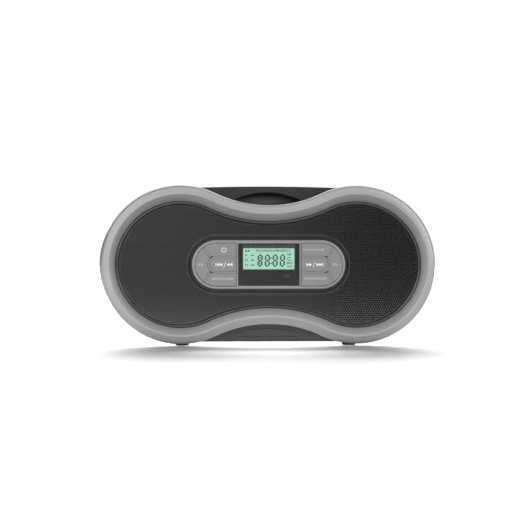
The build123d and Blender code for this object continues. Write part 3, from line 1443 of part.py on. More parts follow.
# Back cover, battery bay and door
BAY_NEAR = DEPTH - DOOR_T - BAY_DEPTH
BAY_TOP = BAY_BOTTOM + BAY_HEIGHT
DOOR_HALF = BAY_LENGTH / 2 + DOOR_LAP
DOOR_LOW = BAY_BOTTOM - DOOR_LAP
DOOR_HIGH = BAY_TOP + DOOR_LAP
DOOR_HINGE_R = 1.0
PIVOT_OUT = 0.8
CONTACT_HALF = 9.0
CONTACT_T = 0.5
SPRING_R = 5.0
SPRING_PITCH = 1.9
SPRING_TURNS = 3
SPRING_WIRE_R = 0.4
CHANNEL_X0 = MAST_X - CHANNEL_START
CHANNEL_X1 = LOBE_X + CABINET_R
CHANNEL_NEAR = DEPTH - CHANNEL_DEPTH
SWIVEL_R = 2.5


def back_cover():
    """Rear shell with the battery bay, the antenna channel and the socket openings."""
    outer = front_slab(stadium(CABINET_R), COVER_START, DEPTH)
    outer = fillet(outer.edges().group_by(Axis.Y)[-1], COVER_ROUND)
    hollow = front_slab(stadium(CABINET_R - WALL), COVER_START, DEPTH - PLATE)
    shell = outer - hollow
    rim = FIT + BAY_WALL
    half = DOOR_HALF + rim
    bay = box(-half, half, BAY_NEAR - WALL, DEPTH - PLATE, DOOR_LOW - rim, DOOR_HIGH + rim)
    channel = box(
        CHANNEL_X0 - WALL, CHANNEL_X1 + WALL,
        CHANNEL_NEAR - WALL, DEPTH,
        CHANNEL_BOTTOM - WALL, CABINET_TOP,
    )
    channel = channel & front_slab(stadium(CABINET_R - 0.2), COVER_START - CHANNEL_DEPTH, DEPTH - PLATE)
    screw_walls = [rod_y(x, z, BOSS_R + 0.5, COVER_START, DEPTH - PLATE) for x, z in cover_screw_places()]
    swivel_boss = rod_y(MAST_X, MAST_Z, SWIVEL_R + 1.5, CHANNEL_NEAR - WALL - 1.5, CHANNEL_NEAR - 0.5)
    removed = [box(-BAY_LENGTH / 2, BAY_LENGTH / 2, BAY_NEAR, DEPTH - DOOR_T, BAY_BOTTOM, BAY_TOP)]
    reach = DOOR_HALF + FIT
    door_near = DEPTH - DOOR_T - FIT
    removed.append(box(-reach, reach, door_near, DEPTH + 1, DOOR_LOW - FIT, DOOR_HIGH + FIT))
    removed.append(box(CHANNEL_X0, CHANNEL_X1, CHANNEL_NEAR, DEPTH + 1, CHANNEL_BOTTOM, CABINET_TOP + 1))
    removed.append(rod_y(MAST_X, MAST_Z, SWIVEL_R + RUNNING, COVER_START - 6, DEPTH))
    for side in (-1, 1):
        x0, x1 = sorted((side * DOOR_HALF, side * (DOOR_HALF + FIT + PIVOT_OUT + RUNNING)))
        pivot_r = DOOR_HINGE_R + RUNNING
        removed.append(rod_x(DEPTH - DOOR_HINGE_R, DOOR_LOW + DOOR_HINGE_R, pivot_r, x0, x1))
    for x, z in cover_screw_places():
        removed.append(rod_y(x, z, SCREW_R + 0.2, COVER_START, DEPTH))
        removed.append(rod_y(x, z, HEAD_R + 0.4, DEPTH - HEAD_SUNK, DEPTH))
    margin = 2 * (INLET_WALL + FIT)
    inlet = Pos(SOCKET_X, SOCKET_Z) * Rectangle(INLET_W + margin, INLET_H + margin)
    removed.append(front_slab(inlet, DEPTH - PLATE, DEPTH))
    removed.append(rod_y(-SOCKET_X, SOCKET_Z, JACK_NOSE_R + FIT, DEPTH - PLATE, DEPTH))
    return shell + [bay, channel, swivel_boss] + screw_walls - removed


def battery_door():
    """Door of the bay, hinged along its lower edge on two small pivots."""
    door = box(-DOOR_HALF, DOOR_HALF, DEPTH - DOOR_T, DEPTH, DOOR_LOW, DOOR_HIGH)
    thumb = box(-12, 12, DEPTH - 1.0, DEPTH, DOOR_HIGH - 7, DOOR_HIGH - 2.5)
    lower = door.edges().filter_by(Axis.X).group_by(Axis.Z)[0]
    door = fillet(lower, DOOR_HINGE_R)
    pivots = []
    for side in (-1, 1):
        x0, x1 = sorted((side * (DOOR_HALF - 2), side * (DOOR_HALF + FIT + PIVOT_OUT)))
        pivots.append(rod_x(DEPTH - DOOR_HINGE_R, DOOR_LOW + DOOR_HINGE_R, DOOR_HINGE_R, x0, x1))
    return door - thumb + pivots


def battery_contacts():
    """Spring contacts at one end of the bay and flat contacts at the other, for two rows of cells."""
    contacts = []
    half = BAY_LENGTH / 2
    for row in range(2):
        z = BAY_BOTTOM + BAY_HEIGHT * (0.25 + 0.5 * row)
        depth = BAY_NEAR + BAY_DEPTH / 2
        reach = CONTACT_HALF
        flat = box(half - CONTACT_T, half, depth - reach, depth + reach, z - reach, z + reach)
        plate = box(-half, -half + CONTACT_T, depth - reach, depth + reach, z - reach, z + reach)
        contacts.append(flat)
        helix = Helix(pitch=SPRING_PITCH, height=SPRING_TURNS * SPRING_PITCH, radius=SPRING_R)
        section = Plane(origin=helix @ 0, z_dir=helix % 0) * Circle(SPRING_WIRE_R)
        coil = sweep(section, path=helix, is_frenet=True)
        placed = Pos(-half + CONTACT_T + SPRING_WIRE_R / 2, FRONT + depth, z) * Rot(0, 90, 0) * coil
        contacts.append(plate + placed)
    return group(contacts)


def case_screws():
    """Long screws that hold the back cover to the cabinet."""
    screws = []
    for x, z in cover_screw_places():
        seat = DEPTH - HEAD_SUNK
        shank = rod_y(x, z, SCREW_R, COVER_START - SCREW_LENGTH, seat)
        screws.append(shank + rod_y(x, z, HEAD_R, seat, seat + HEAD_T))
    return group(screws)


# Antenna
EAR_HALF = 1.25
EAR_T = 1.6
TILT_DEPTH = DEPTH - MAST_R
TONGUE_R = 2.3
TILT_PIN_R = 0.8
SECTION_STEP = 8.0
TIP_R = 2.6
TIP_LENGTH = 5.0


def antenna_base():
    """Swivel of the antenna: a pin in the back cover and a fork for the mast."""
    disc_near = CHANNEL_NEAR + 0.2
    pin = rod_y(MAST_X, MAST_Z, SWIVEL_R, CHANNEL_NEAR - WALL - 2, disc_near)
    disc = rod_y(MAST_X, MAST_Z, 4.0, disc_near, disc_near + 0.7)
    ears = []
    for way in (-1, 1):
        low, high = sorted((MAST_Z + way * EAR_HALF, MAST_Z + way * (EAR_HALF + EAR_T)))
        ears.append(box(MAST_X - TONGUE_R, MAST_X + TONGUE_R, disc_near + 0.5, TILT_DEPTH, low, high))
        ears.append(rod_z(MAST_X, TILT_DEPTH, TONGUE_R, low, high))
    hinge = rod_z(MAST_X, TILT_DEPTH, TILT_PIN_R, MAST_Z - EAR_HALF, MAST_Z + EAR_HALF)
    return pin + [disc, hinge] + ears


def tube_span(index):
    """Start and end of one antenna section along X."""
    x0 = MAST_X + 7 + SECTION_STEP * index
    x1 = MAST_X + MAST_LENGTH - 8 + 2 * index
    return x0, x1


def tube_radius(index):
    return MAST_R - index * (TUBE_WALL + RUNNING)


def antenna_tube(index):
    """Hollow section of the antenna; the first one has the tongue of the tilt hinge."""
    x0, x1 = tube_span(index)
    radius = tube_radius(index)
    tube = rod_x(TILT_DEPTH, MAST_Z, radius, x0, x1)
    tube = tube - rod_x(TILT_DEPTH, MAST_Z, radius - TUBE_WALL, x0 + SECTION_STEP - 1, x1)
    if index > 0:
        return tube
    tongue_t = EAR_HALF - 0.1
    low = MAST_Z - tongue_t
    high = MAST_Z + tongue_t
    radius = TONGUE_R - FIT
    tongue = box(MAST_X, x0 + 1, TILT_DEPTH - radius, TILT_DEPTH + radius, low, high)
    tongue = tongue + rod_z(MAST_X, TILT_DEPTH, radius, low, high)
    return tube + tongue - rod_z(MAST_X, TILT_DEPTH, TILT_PIN_R + RUNNING, low, high)


def antenna_rod():
    """Innermost section, solid, with the tip."""
    x0, x1 = tube_span(3)
    rod = rod_x(TILT_DEPTH, MAST_Z, tube_radius(3), x0, x1 + 1)
    return rod + rod_x(TILT_DEPTH, MAST_Z, TIP_R, x1, x1 + TIP_LENGTH)


def feet():
    pads = []
    for side in (-1, 1):
        for depth in (FOOT_FRONT, FOOT_REAR):
            pad = rod_z(side * FOOT_X, depth, FOOT_R, 0, CABINET_BOTTOM)
            pads.append(chamfer(pad.edges().group_by(Axis.Z)[0], FOOT_CHAMFER))
    return group(pads)


def build():
    nodes = {
        "front_trim": front_trim(),
        "small_screws": group(front_screws() + inner_screws()),
        "front_baffle": front_baffle(),
        "grille_ring": grille_ring(),
        "speaker_grille": speaker_grille(),
        "control_panel": control_panel(),
        "display_window": display_window(),
        "lcd_module": lcd_module(),
        "ir_receiver": ir_receiver(),
        "key_mat": key_mat(),
        "key_board": key_board(),
        "rear_cabinet": rear_cabinet(),
        "carry_handle": carry_handle(),
        "cd_deck": cd_deck(),
        "cd_lid": cd_lid(),
        "lid_window": lid_window(),
        "hinge_pins": hinge_pins(),
        "lid_catch": lid_catch(),
        "mech_chassis": mech_chassis(),
        "mech_dampers": mech_dampers(),
        "mech_screws": mech_screws(),
        "spindle_motor": spindle_motor(),
        "spindle_shaft": spindle_shaft(),
        "turntable": turntable(),
        "guide_rods": guide_rods(),
        "pickup_sled": pickup_sled(),
        "pickup_lens": pickup_lens(),
        "sled_gear": sled_gear(),
        "sled_motor": sled_motor(),
        "motor_pinion": motor_pinion(),
        "main_board": main_board(),
        "board_components": board_components(),
        "power_transformer": power_transformer(),
        "power_inlet": power_inlet(),
        "headphone_jack": headphone_jack(),
        "ferrite_rod": ferrite_rod(),
        "back_cover": back_cover(),
        "battery_door": battery_door(),
        "battery_contacts": battery_contacts(),
        "case_screws": case_screws(),
        "antenna_base": antenna_base(),
        "antenna_rod": antenna_rod(),
        "feet": feet(),
        "speaker_frames": group([speaker_frame(side) for side in (-1, 1)]),
        "speaker_magnets": group([speaker_magnet(side) for side in (-1, 1)]),
    }
    for name, (shape, side) in KEY_NAMES.items():
        nodes[name] = key(shape, side)
    for index in range(3):
        nodes[f"antenna_tube_{index + 1}"] = antenna_tube(index)
    for word, side in (("left", -1), ("right", 1)):
        nodes[f"speaker_cone_{word}"] = speaker_cone(side)
        nodes[f"speaker_surround_{word}"] = speaker_surround(side)
    return nodes


if __name__ == "__main__":
    os.makedirs("parts", exist_ok=True)
    for node, solid in build().items():
        export_step(solid, f"parts/{node}.step")
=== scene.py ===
import bmesh
import bpy
import json
import math
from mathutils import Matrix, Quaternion, Vector
from mathutils.geometry import delaunay_2d_cdt


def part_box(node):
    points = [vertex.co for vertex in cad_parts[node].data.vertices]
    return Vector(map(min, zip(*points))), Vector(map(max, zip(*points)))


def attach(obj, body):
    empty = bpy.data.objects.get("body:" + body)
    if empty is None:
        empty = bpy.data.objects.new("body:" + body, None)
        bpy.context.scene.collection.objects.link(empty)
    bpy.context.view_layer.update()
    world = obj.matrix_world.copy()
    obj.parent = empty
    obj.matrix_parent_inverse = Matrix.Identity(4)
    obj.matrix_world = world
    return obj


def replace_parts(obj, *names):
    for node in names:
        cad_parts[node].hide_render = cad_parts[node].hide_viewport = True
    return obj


# A CD boombox dressed for its picture. Sizes are in millimetres: X to the right, depth to the rear
# from the front of the bezel, and Z up. They become metres where a mesh is made.

MM = 0.001
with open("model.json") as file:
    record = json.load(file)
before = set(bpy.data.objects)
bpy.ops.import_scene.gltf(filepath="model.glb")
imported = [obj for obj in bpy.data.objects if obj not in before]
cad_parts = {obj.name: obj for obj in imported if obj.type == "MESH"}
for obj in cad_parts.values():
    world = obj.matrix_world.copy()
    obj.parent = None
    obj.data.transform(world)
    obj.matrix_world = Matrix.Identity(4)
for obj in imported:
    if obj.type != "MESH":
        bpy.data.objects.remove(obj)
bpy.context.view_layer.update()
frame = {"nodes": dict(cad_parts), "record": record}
scene = bpy.context.scene


def corners(node):
    """Lowest and highest corner of a CAD node, in millimetres."""
    low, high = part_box(node)
    return low / MM, high / MM


# Places read from the frame
trim_low, trim_high = corners("front_trim")
FRONT = trim_low.y
LOBE_R = (trim_high.z - trim_low.z) / 2
AXIS_Z = (trim_high.z + trim_low.z) / 2
LOBE_X = trim_high.x - LOBE_R
TRIM_DEPTH = trim_high.y - FRONT
cover_low, cover_high = corners("back_cover")
CABINET_TOP = cover_high.z
CABINET_BOTTOM = cover_low.z
BAFFLE_FRONT = corners("front_baffle")[0].y - FRONT
RIM_FRONT = corners("grille_ring")[0].y - FRONT
panel_low, panel_high = corners("control_panel")
PANEL_LENGTH = panel_high.x - panel_low.x
PANEL_HEIGHT = panel_high.z - panel_low.z
PANEL_FRONT = panel_low.y - FRONT
window_low, window_high = corners("display_window")
WINDOW_W = window_high.x - window_low.x
WINDOW_H = window_high.z - window_low.z
WINDOW_FRONT = window_low.y - FRONT
WINDOW_BACK = window_high.y - FRONT
KEY_FRONT = corners("key_play")[0].y - FRONT
skip_low, skip_high = corners("key_skip_forward")
KEY_INNER = skip_low.x
SKIP_END = skip_high.x
SKIP_HALF = (skip_high.z - skip_low.z) / 2
CABINET_FRONT = corners("rear_cabinet")[0].y - FRONT

# Outline of the bezel
WAIST_HALF = 53.3
WAIST_R = (LOBE_X**2 + WAIST_HALF**2 - LOBE_R**2) / (2 * (LOBE_R - WAIST_HALF))
WAIST_Z = WAIST_HALF + WAIST_R
TANGENT = math.atan2(WAIST_Z, -LOBE_X)
LOBE_STEPS = 132
WAIST_STEPS = 44

# Section of the bezel
TRIM_WIDTH = 14.3
TRIM_WALL = 2.4
TRIM_RIDGE = 7.2
TRIM_CROWN = 14.0
TRIM_EDGE_W = 3.4
TRIM_EDGE_DEPTH = 6.0
TRIM_BAND_DEPTH = 1.2
TRIM_CREASE = 8.1
TRIM_CREASE_DEPTH = 0.3
TRIM_SLOPE = 6.3
TRIM_END_SHIFT = 1.8
EDGE_TURN = (180, 258)
EDGE_STEPS = 16
BAND_STEPS = 8
BAND_POWER = 1.36
SLOPE_STEPS = 10
SLOPE_HOLLOW = 0.28
RIM_DROP = 0.9
RIM_PROUD = 0.7
RIM_GAP = 0.1
RIM_LAP = 0.6

# Perforated grille
GRILLE_FRONT = 7.6
GRILLE_T = 0.8
GRILLE_INSET = 17.7
GRILLE_PITCH = 2.2
GRILLE_HOLE_R = 0.66
GRILLE_BORDER = 1.2
PANEL_MOAT = 2.3
STADIUM_STEPS = 28
MOAT_ROUND = 1.7
MOAT_DEPTH = 2.2
HOLE_STEPS = 12
ROW_STEP = GRILLE_PITCH * math.sqrt(3) / 2
CELL_R = GRILLE_PITCH / math.sqrt(3)
WELD = 1e-5
LIP_SINK = 0.4
LIP_LAP = 0.1
BACKING_FRONT = 8.9
BACKING_T = 0.15
BACKING_LAP = 0.6
BACKING_MOAT = 0.9
NEAR = 0.05
# Span in X over which the face's black darkens from left to right: painted shade
FACE_SHADE_SPAN = (0.0, 105.0)

# Display
LCD_W = 46.0
LCD_H = 18.7
LCD_Z = AXIS_Z + 5.2
LCD_LEFT = -LCD_W / 2
LCD_LOW = LCD_Z - LCD_H / 2
LCD_SIDE = 0.9
LCD_TOP = 3.4
LCD_BOTTOM = 1.0
EYE_X = 16.2
EYE_Z = AXIS_Z - 10.2
EYE_W = 3.0
EYE_H = 2.2
EYE_DOME = 0.55
EYE_TURN = 78
EYE_RINGS = 8
EYE_SINK = 0.5
WINDOW_ROUND = 0.9
WINDOW_EDGE = 0.2
OPENING_ROUND = 0.6
PANE_SINK = 0.02
PANE_BACK = 0.5
LCD_ROUND = 0.7
LCD_SINK = 0.35
LCD_T = 0.1
LCD_BACK = 1.2

# Digits and small marks of the display, from its lower left corner
DIGIT_W = 4.7
DIGIT_H = 11.0
DIGIT_SLANT = 0.05
DIGIT_STEPS = (12.5, 19.1, 26.1, 32.6)
DIGIT_LOW = 2.3
SEGMENT_T = 1.4
SEGMENT_GAP = 0.22
SEGMENT_RAISED = 0.06
COLON_SHIFT = 0.3
COLON_LEVELS = (0.27, 0.7)
COLON_R = 0.6
DISC_PLACES = (2.7, 5.0)
DISC_LEVEL = 16.4
DISC_R = 0.95
ICON_X = 2.9
ICON_LEVELS = (12.6, 8.2, 3.8)
ARROW = 2.0
LADDER_STEP = 0.9
LADDER_H = 2.4
LADDER_LINE = 0.45
FLAG = [(6.4, -0.5), (9.8, -0.5), (9.8, 0.5), (7.4, 0.5)]
RING_PLACE = (41.4, 9.3)
RING_R = 1.75
RING_HOLE_R = 1.1
RING_TURN = (20, 340)

# Marks within the first digit: place from its middle and foot, width, height and rounding
INNER_MARKS = [(0.1, 3.1, 0.7, 3.4, 0.2), (0.4, 7.9, 1.1, 1.3, 0.3)]

# Words of the display: text, place and height
LCD_WORDS = [
    ("PROG", 15.2, 16.5, 2.1),
    ("RANDOM", 25.7, 16.5, 2.1),
    ("REPEAT", 37.6, 16.5, 2.1),
    ("AM", 41.2, 13.2, 1.9),
    ("MHz", 41.7, 5.5, 2.0),
    ("kHz", 41.9, 2.6, 2.0),
]

# Marks on the keys: how far they rise and sink, and their sizes
MARK_SPAN = (KEY_FRONT - 0.12, KEY_FRONT + 0.02)
MARK_ROUND = 0.1
MARK_UPPER = AXIS_Z + 13.2
MARK_LOWER = AXIS_Z - 12.7
POWER_X = -40.4
POWER_R = 2.25
POWER_LINE = 0.6
POWER_TURN = (122, 418)
STEM_RISE = 1.5
STEM_H = 2.4
STEM_ROUND = 0.2
SKIP_PLACES = (-39.7, 40.5)
SKIP_NEAR = 4.3
SKIP_FAR = 4.8
HEAD_W = 2.7
HEAD_H = 3.1
HEAD_STEP = 1.3
STOP_STEP = 3.0
STOP_W = 0.75
SLASH = [(-1.2, -2.4), (-0.65, -2.4), (1.2, 2.4), (0.65, 2.4)]
PLAY_X = 46.0
PLAY_HEAD = (1.8, 1.9)
PAUSE_PLACES = (47.9, 49.0)
PAUSE_SIZE = (0.55, 2.1)

# Size of the typeface for each millimetre of a capital, and how far its strokes are thickened
LETTER_SIZE = 1.4
LETTER_BOLD = 0.05

# Words on the keys: key, text, place and height
KEY_WORDS = [
    ("play", "PLAY/PAUSE", 37.4, MARK_UPPER, 1.8),
    ("band", "BAND/TUNER", -41.2, MARK_LOWER, 2.2),
    ("stop", "STOP/MEMORY", 41.8, MARK_LOWER, 2.2),
    ("volume_down", "VOL -", -60.6, AXIS_Z, 2.1),
    ("volume_up", "VOL +", 60.6, AXIS_Z, 2.1),
]

# Lands between the keys
WEB_HALF = 0.17
WEB_SINK = 1.0
FORK_BACK = 1.0
LAND_HALF = 0.62
# Width of the dark line that paints the shadow in the gap beside a land
LAND_LINE = 0.34
LAND_PROUD = 0.24
LINE_PROUD = 0.1
LINE_BACK = 0.03
VOLUME_X = PANEL_LENGTH / 2 - 10.5
VOLUME_Z = 15.1
KEY_GAP = 0.8

# Share of the display's light that is its own, and that its face gives back
GLOW = 0.9
GLOW_BASE = 0.08

# Moulding under the waist: its plate, the raised panel, two ribs and two notches
BASE_LOW = CABINET_BOTTOM + 0.4
PLATE_HALF = 62.0
PLATE_HIP = 30.0
PLATE_SIDE = AXIS_Z - 60.0
PLATE_TOP = AXIS_Z - 50.0
PLATE_SPAN = (CABINET_FRONT - 0.5, CABINET_FRONT + 0.3)
RAISED_X = (-20.8, 19.8)
RAISED_LOW = AXIS_Z - 63.6
RAISED_TOP = AXIS_Z - 57.6
RAISED_R = 3.4
RAISED_CURVE = 4.0
RAISED_STEPS = 16
RAISED_PROUD = 1.3
RAISED_EDGE = 0.5
RIBS = [(AXIS_Z - 65.6, 27.0), (AXIS_Z - 68.4, 42.0)]
RIB_H = 1.3
RIB_ROUND = 0.6
RIB_PROUD = 1.1
RIB_EDGE = 0.4
NOTCH = [(20.6, -58.6), (25.8, -60.4), (25.8, -61.4), (20.6, -60.2)]
NOTCH_PROUD = 1.0
NOTCH_EDGE = 0.3

# Liner of the pocket behind the handle, with a painted gleam at its middle and painted shade towards its
# rim
POCKET_AXIS = 42.0
POCKET_R = 22.0
POCKET_SPAN = (-50.0, -3.0)
POCKET_HALF = 49.8
LINER_OFF = 0.02
LINER_T = 0.4
POCKET_PAINTED_GLEAM = (0, 0, 128.5)
PAINTED_GLEAM_REACH = (31, 1000, 8.0)

# Camera, set from the outline of the bezel in the 520 by 520 picture
IMAGE_SIZE = 520
BEZEL_CENTRE_PX = (268.1, 264.6)
BEZEL_WIDTH_PX = 333.8
CAMERA_DISTANCE = 2200.0
CAMERA_AZIMUTH = -4.5
CAMERA_ELEVATION = 0.0
SENSOR = 36.0

# Half the floor's width, in metres
FLOOR_HALF = 30.0

# Light: the surroundings from the horizon up and the floor's own light
SKY_LOW = 0.1
SKY_HIGH = 0.25
FLOOR_GLOW = 0.04

# A low sun behind the object, for the floor alone
SUN_STRENGTH = 7.6
SUN_PLACE = (0.05, 1.0, 0.25)
SUN_SPREAD = 36.0

# Soft boxes for the object alone: their aim, then place in metres, size, roll in degrees and watts
LAMP_AIM = (0, -0.05, AXIS_Z * MM)
LAMPS = [
    ("front_left", (-0.62, -2.32, 0.54), (1.3, 0.76), 0, 9.6),
    ("front_top", (0.0, -1.1, 1.25), (0.9, 0.5), 0, 2.4),
    ("front_low", (-0.02, -0.3, 0.009), (0.6, 0.012), 0, 0.16),
    ("rear_top", (0.3, 1.5, 1.3), (1.6, 1.0), 0, 16.0),
    ("strip_left", (-1.0, -0.6, 0.24), (0.3, 0.42), 0, 1.3),
    ("strip_right", (1.0, -0.6, 0.3), (0.3, 0.42), 0, 2.1),
    ("rim_left", (-0.78, -0.7, 0.72), (0.16, 0.8), -45, 2.8),
    ("rim_right", (0.78, -0.7, 0.72), (0.16, 0.8), 45, 2.8),
]


# Colours
def linear(level):
    """Linear value of one sRGB level from 0 to 255."""
    share = level / 255
    return share / 12.92 if share <= 0.04045 else ((share + 0.055) / 1.055) ** 2.4


def colour(red, green=None, blue=None):
    """Linear colour of an sRGB colour, or of a grey."""
    green = red if green is None else green
    blue = red if blue is None else blue
    return (linear(red), linear(green), linear(blue), 1.0)


def scaled(tint, factor):
    return tuple(min(1.0, channel * factor) for channel in tint[:3]) + (1.0,)


# Materials
def fill(node, values):
    """Sets inputs of a node, whose names have underscores for spaces here."""
    for name, value in values.items():
        node.inputs[name.replace("_", " ")].default_value = value


class Finish:
    """A Principled material that is built up node by node."""

    def __init__(self, name):
        self.material = bpy.data.materials.new(name)
        self.material.use_nodes = True
        self.nodes = self.material.node_tree.nodes
        self.links = self.material.node_tree.links
        self.shader = self.nodes["Principled BSDF"]
        self.place = self.node("TexCoord").outputs["Object"]

    def set(self, **values):
        fill(self.shader, values)

    def node(self, kind, **values):
        made = self.nodes.new("ShaderNode" + kind)
        fill(made, values)
        return made

    def noise(self, size, detail=2.0, rough=0.5, stretch=(1, 1, 1)):
        """Noise whose features are about this size, in millimetres."""
        node = self.node("TexNoise", Scale=1 / (size * MM), Detail=detail, Roughness=rough)
        if stretch == (1, 1, 1):
            self.links.new(self.place, node.inputs["Vector"])
        else:
            mapping = self.node("Mapping", Scale=stretch)
            self.links.new(self.place, mapping.inputs["Vector"])
            self.links.new(mapping.outputs["Vector"], node.inputs["Vector"])
        return node.outputs["Fac"]

    def spread(self, value, low, high, near=0.3, far=0.7):
        """Value mapped from near..far to low..high."""
        node = self.node("MapRange", From_Min=near, From_Max=far, To_Min=low, To_Max=high)
        self.links.new(value, node.inputs["Value"])
        return node.outputs["Result"]

    def blend(self, share, first, second):
        """Colour between two colours, or between a colour and a socket."""
        node = self.node("Mix")
        node.data_type = "RGBA"
        self.links.new(share, node.inputs["Factor"])
        for name, value in (("A", first), ("B", second)):
            socket = next(s for s in node.inputs if s.name == name and s.type == "RGBA")
            if isinstance(value, tuple):
                socket.default_value = value
            else:
                self.links.new(value, socket)
        return next(s for s in node.outputs if s.type == "RGBA")

    def product(self, first, second):
        node = self.node("Math")
        node.operation = "MULTIPLY"
        self.links.new(first, node.inputs[0])
        self.links.new(second, node.inputs[1])
        return node.outputs["Value"]

    def edges(self, radius):
        """From 0 on a flat to 1 on an edge rounder than the radius, in millimetres."""
        bevel = self.node("Bevel", Radius=radius * MM)
        bevel.samples = 4
        geometry = self.node("NewGeometry")
        dot = self.node("VectorMath")
        dot.operation = "DOT_PRODUCT"
        self.links.new(bevel.outputs["Normal"], dot.inputs[0])
        self.links.new(geometry.outputs["Normal"], dot.inputs[1])
        return self.spread(dot.outputs["Value"], 1.0, 0.0, 0.86, 0.995)

    def patches(self, tint, size, change, detail=3.0):
        """Tint in patches of about this size, darker and lighter by a share."""
        return self.blend(self.noise(size, detail), scaled(tint, 1 - change), scaled(tint, 1 + change))

    def specks(self, tone, size, share, light, detail=3.0):
        """Tone with a share of a lighter colour in specks of about this size."""
        return self.blend(self.spread(self.noise(size, detail), 0.0, share), tone, light)

    def rubbed(self, tone, tint, radius, size, share):
        """Tone with its edges rubbed lighter in patches."""
        patches = self.spread(self.noise(size, 4.0, 0.7), 0.0, share)
        return self.blend(self.product(self.edges(radius), patches), tone, tint)

    def paint(self, value):
        self.links.new(value, self.shader.inputs["Base Color"])

    def gloss(self, low, high, size, detail=5.0, rough=0.6, stretch=(1, 1, 1)):
        """Roughness between two values, in patches of about this size."""
        value = self.spread(self.noise(size, detail, rough, stretch), low, high)
        self.links.new(value, self.shader.inputs["Roughness"])

    def grain(self, depth, size, detail=2.0, rough=0.5, stretch=(1, 1, 1)):
        """Bump of this depth and size, in millimetres."""
        node = self.node("Bump", Strength=1.0, Distance=depth * MM)
        self.links.new(self.noise(size, detail, rough, stretch), node.inputs["Height"])
        self.links.new(node.outputs["Normal"], self.shader.inputs["Normal"])


def plastic(name, tint, rough, grain=0.35, grain_depth=0.02, change=0.1, worn=0.0, **values):
    """Moulded plastic: a fine grain, patches a little lighter or duller, and rubbed edges."""
    made = Finish(name)
    made.set(**values)
    tone = made.patches(tint, 34.0, change)
    if worn:
        tone = made.rubbed(tone, scaled(tint, 1.9), 0.5, 7.0, worn)
    made.paint(tone)
    made.gloss(rough - 0.05, rough + 0.07, 15.0, rough=0.65)
    made.grain(grain_depth, grain, 3.0, 0.6)
    return made.material


def satin_paint(name, tint, rough):
    """Silver-grey paint with a very fine metal flake under a satin coat."""
    made = Finish(name)
    made.set(Metallic=0.35, Coat_Weight=0.25, Coat_Roughness=0.28)
    flake = made.spread(made.noise(0.22, 1.0), 0.0, 0.16, 0.5, 0.75)
    tone = made.blend(flake, made.patches(tint, 46.0, 0.04), scaled(tint, 1.5))
    made.paint(made.rubbed(tone, scaled(tint, 1.25), 0.4, 9.0, 0.35))
    made.gloss(rough - 0.04, rough + 0.06, 20.0)
    made.grain(0.006, 0.5)
    return made.material


def pocket_shade_paint(name, middle, rim, centre, reach):
    """Black of the pocket behind the handle, painted lighter at a middle spot and darker towards the rim
    of the pocket: painted gleam and painted shade.
    """
    made = Finish(name)
    made.set(Specular_IOR_Level=0.12)
    mapping = made.node("Mapping")
    mapping.vector_type = "TEXTURE"
    fill(mapping, {"Location": [value * MM for value in centre], "Scale": [value * MM for value in reach]})
    made.links.new(made.place, mapping.inputs["Vector"])
    length = made.node("VectorMath")
    length.operation = "LENGTH"
    made.links.new(mapping.outputs["Vector"], length.inputs[0])
    # Painted gleam at the middle, painted shade towards the rim
    tone = made.blend(made.spread(length.outputs["Value"], 0.0, 1.0, 0.15, 1.0), middle, rim)
    made.paint(made.specks(tone, 8.0, 0.03, colour(70)))
    made.gloss(0.6, 0.7, 15.0, rough=0.65)
    made.grain(0.02, 0.5, 3.0, 0.6)
    return made.material


def shaded_face_paint(name, left, right, rough):
    """Black paint of the loudspeaker face, with painted shade that deepens it from the left half to the
    right one.
    """
    made = Finish(name)
    split = made.node("SeparateXYZ")
    made.links.new(made.place, split.inputs["Vector"])
    # Share of the painted shade across the face, from its left to its right
    across = made.spread(split.outputs["X"], 0.0, 1.0, FACE_SHADE_SPAN[0] * MM, FACE_SHADE_SPAN[1] * MM)
    made.paint(made.specks(made.blend(across, left, right), 60.0, 0.03, colour(70), 2.0))
    made.gloss(rough - 0.015, rough + 0.015, 40.0, 2.0, 0.5)
    made.grain(0.003, 0.3, 1.0)
    return made.material


def metal(name, tint, rough, brushed):
    """Bare or plated metal with fine drawing marks."""
    made = Finish(name)
    made.set(Metallic=1.0)
    made.paint(made.blend(made.noise(12.0, 3.0), scaled(tint, 0.88), scaled(tint, 1.05)))
    made.gloss(rough - 0.04, rough + 0.1, 3.0, 4.0, stretch=brushed)
    made.grain(0.004, 0.6, 3.0, 0.6, brushed)
    return made.material


def clear(name, tint, alpha, rough=0.06):
    """Thin clear sheet with faint wiping marks."""
    made = Finish(name)
    made.set(Alpha=alpha, IOR=1.49)
    made.paint(made.patches(tint, 25.0, 0.1, 2.0))
    made.gloss(rough, rough + 0.08, 8.0, 4.0, 0.7, (1, 1, 3))
    return made.material


def glowing(name, tint, change=0.04):
    """Lit face of the display, slightly uneven."""
    made = Finish(name)
    made.set(Roughness=0.5, Specular_IOR_Level=0.1, Emission_Strength=GLOW)
    patches = made.noise(14.0)
    made.paint(made.blend(patches, scaled(tint, GLOW_BASE - change), scaled(tint, GLOW_BASE + change)))
    tone = made.blend(patches, scaled(tint, 1 - change), scaled(tint, 1 + change))
    made.links.new(tone, made.shader.inputs["Emission Color"])
    made.grain(0.003, 0.3)
    return made.material


SILVER = satin_paint("silver_paint", colour(164), 0.42)
# Darker copy of the silver for the bezel's inner slope: painted shade
SILVER_PAINTED_SHADE = satin_paint("silver_slope_painted_shade", colour(150), 0.5)
PANEL = satin_paint("panel_paint", colour(143), 0.44)
RIM = plastic("gloss_rim", colour(58), 0.16, grain=2.0, grain_depth=0.004, Coat_Weight=0.5)
# The grille's black is painted lighter on the left and darker on the right: painted shade
GRILLE = shaded_face_paint("grille_paint_shaded", colour(42), colour(12), 0.26)
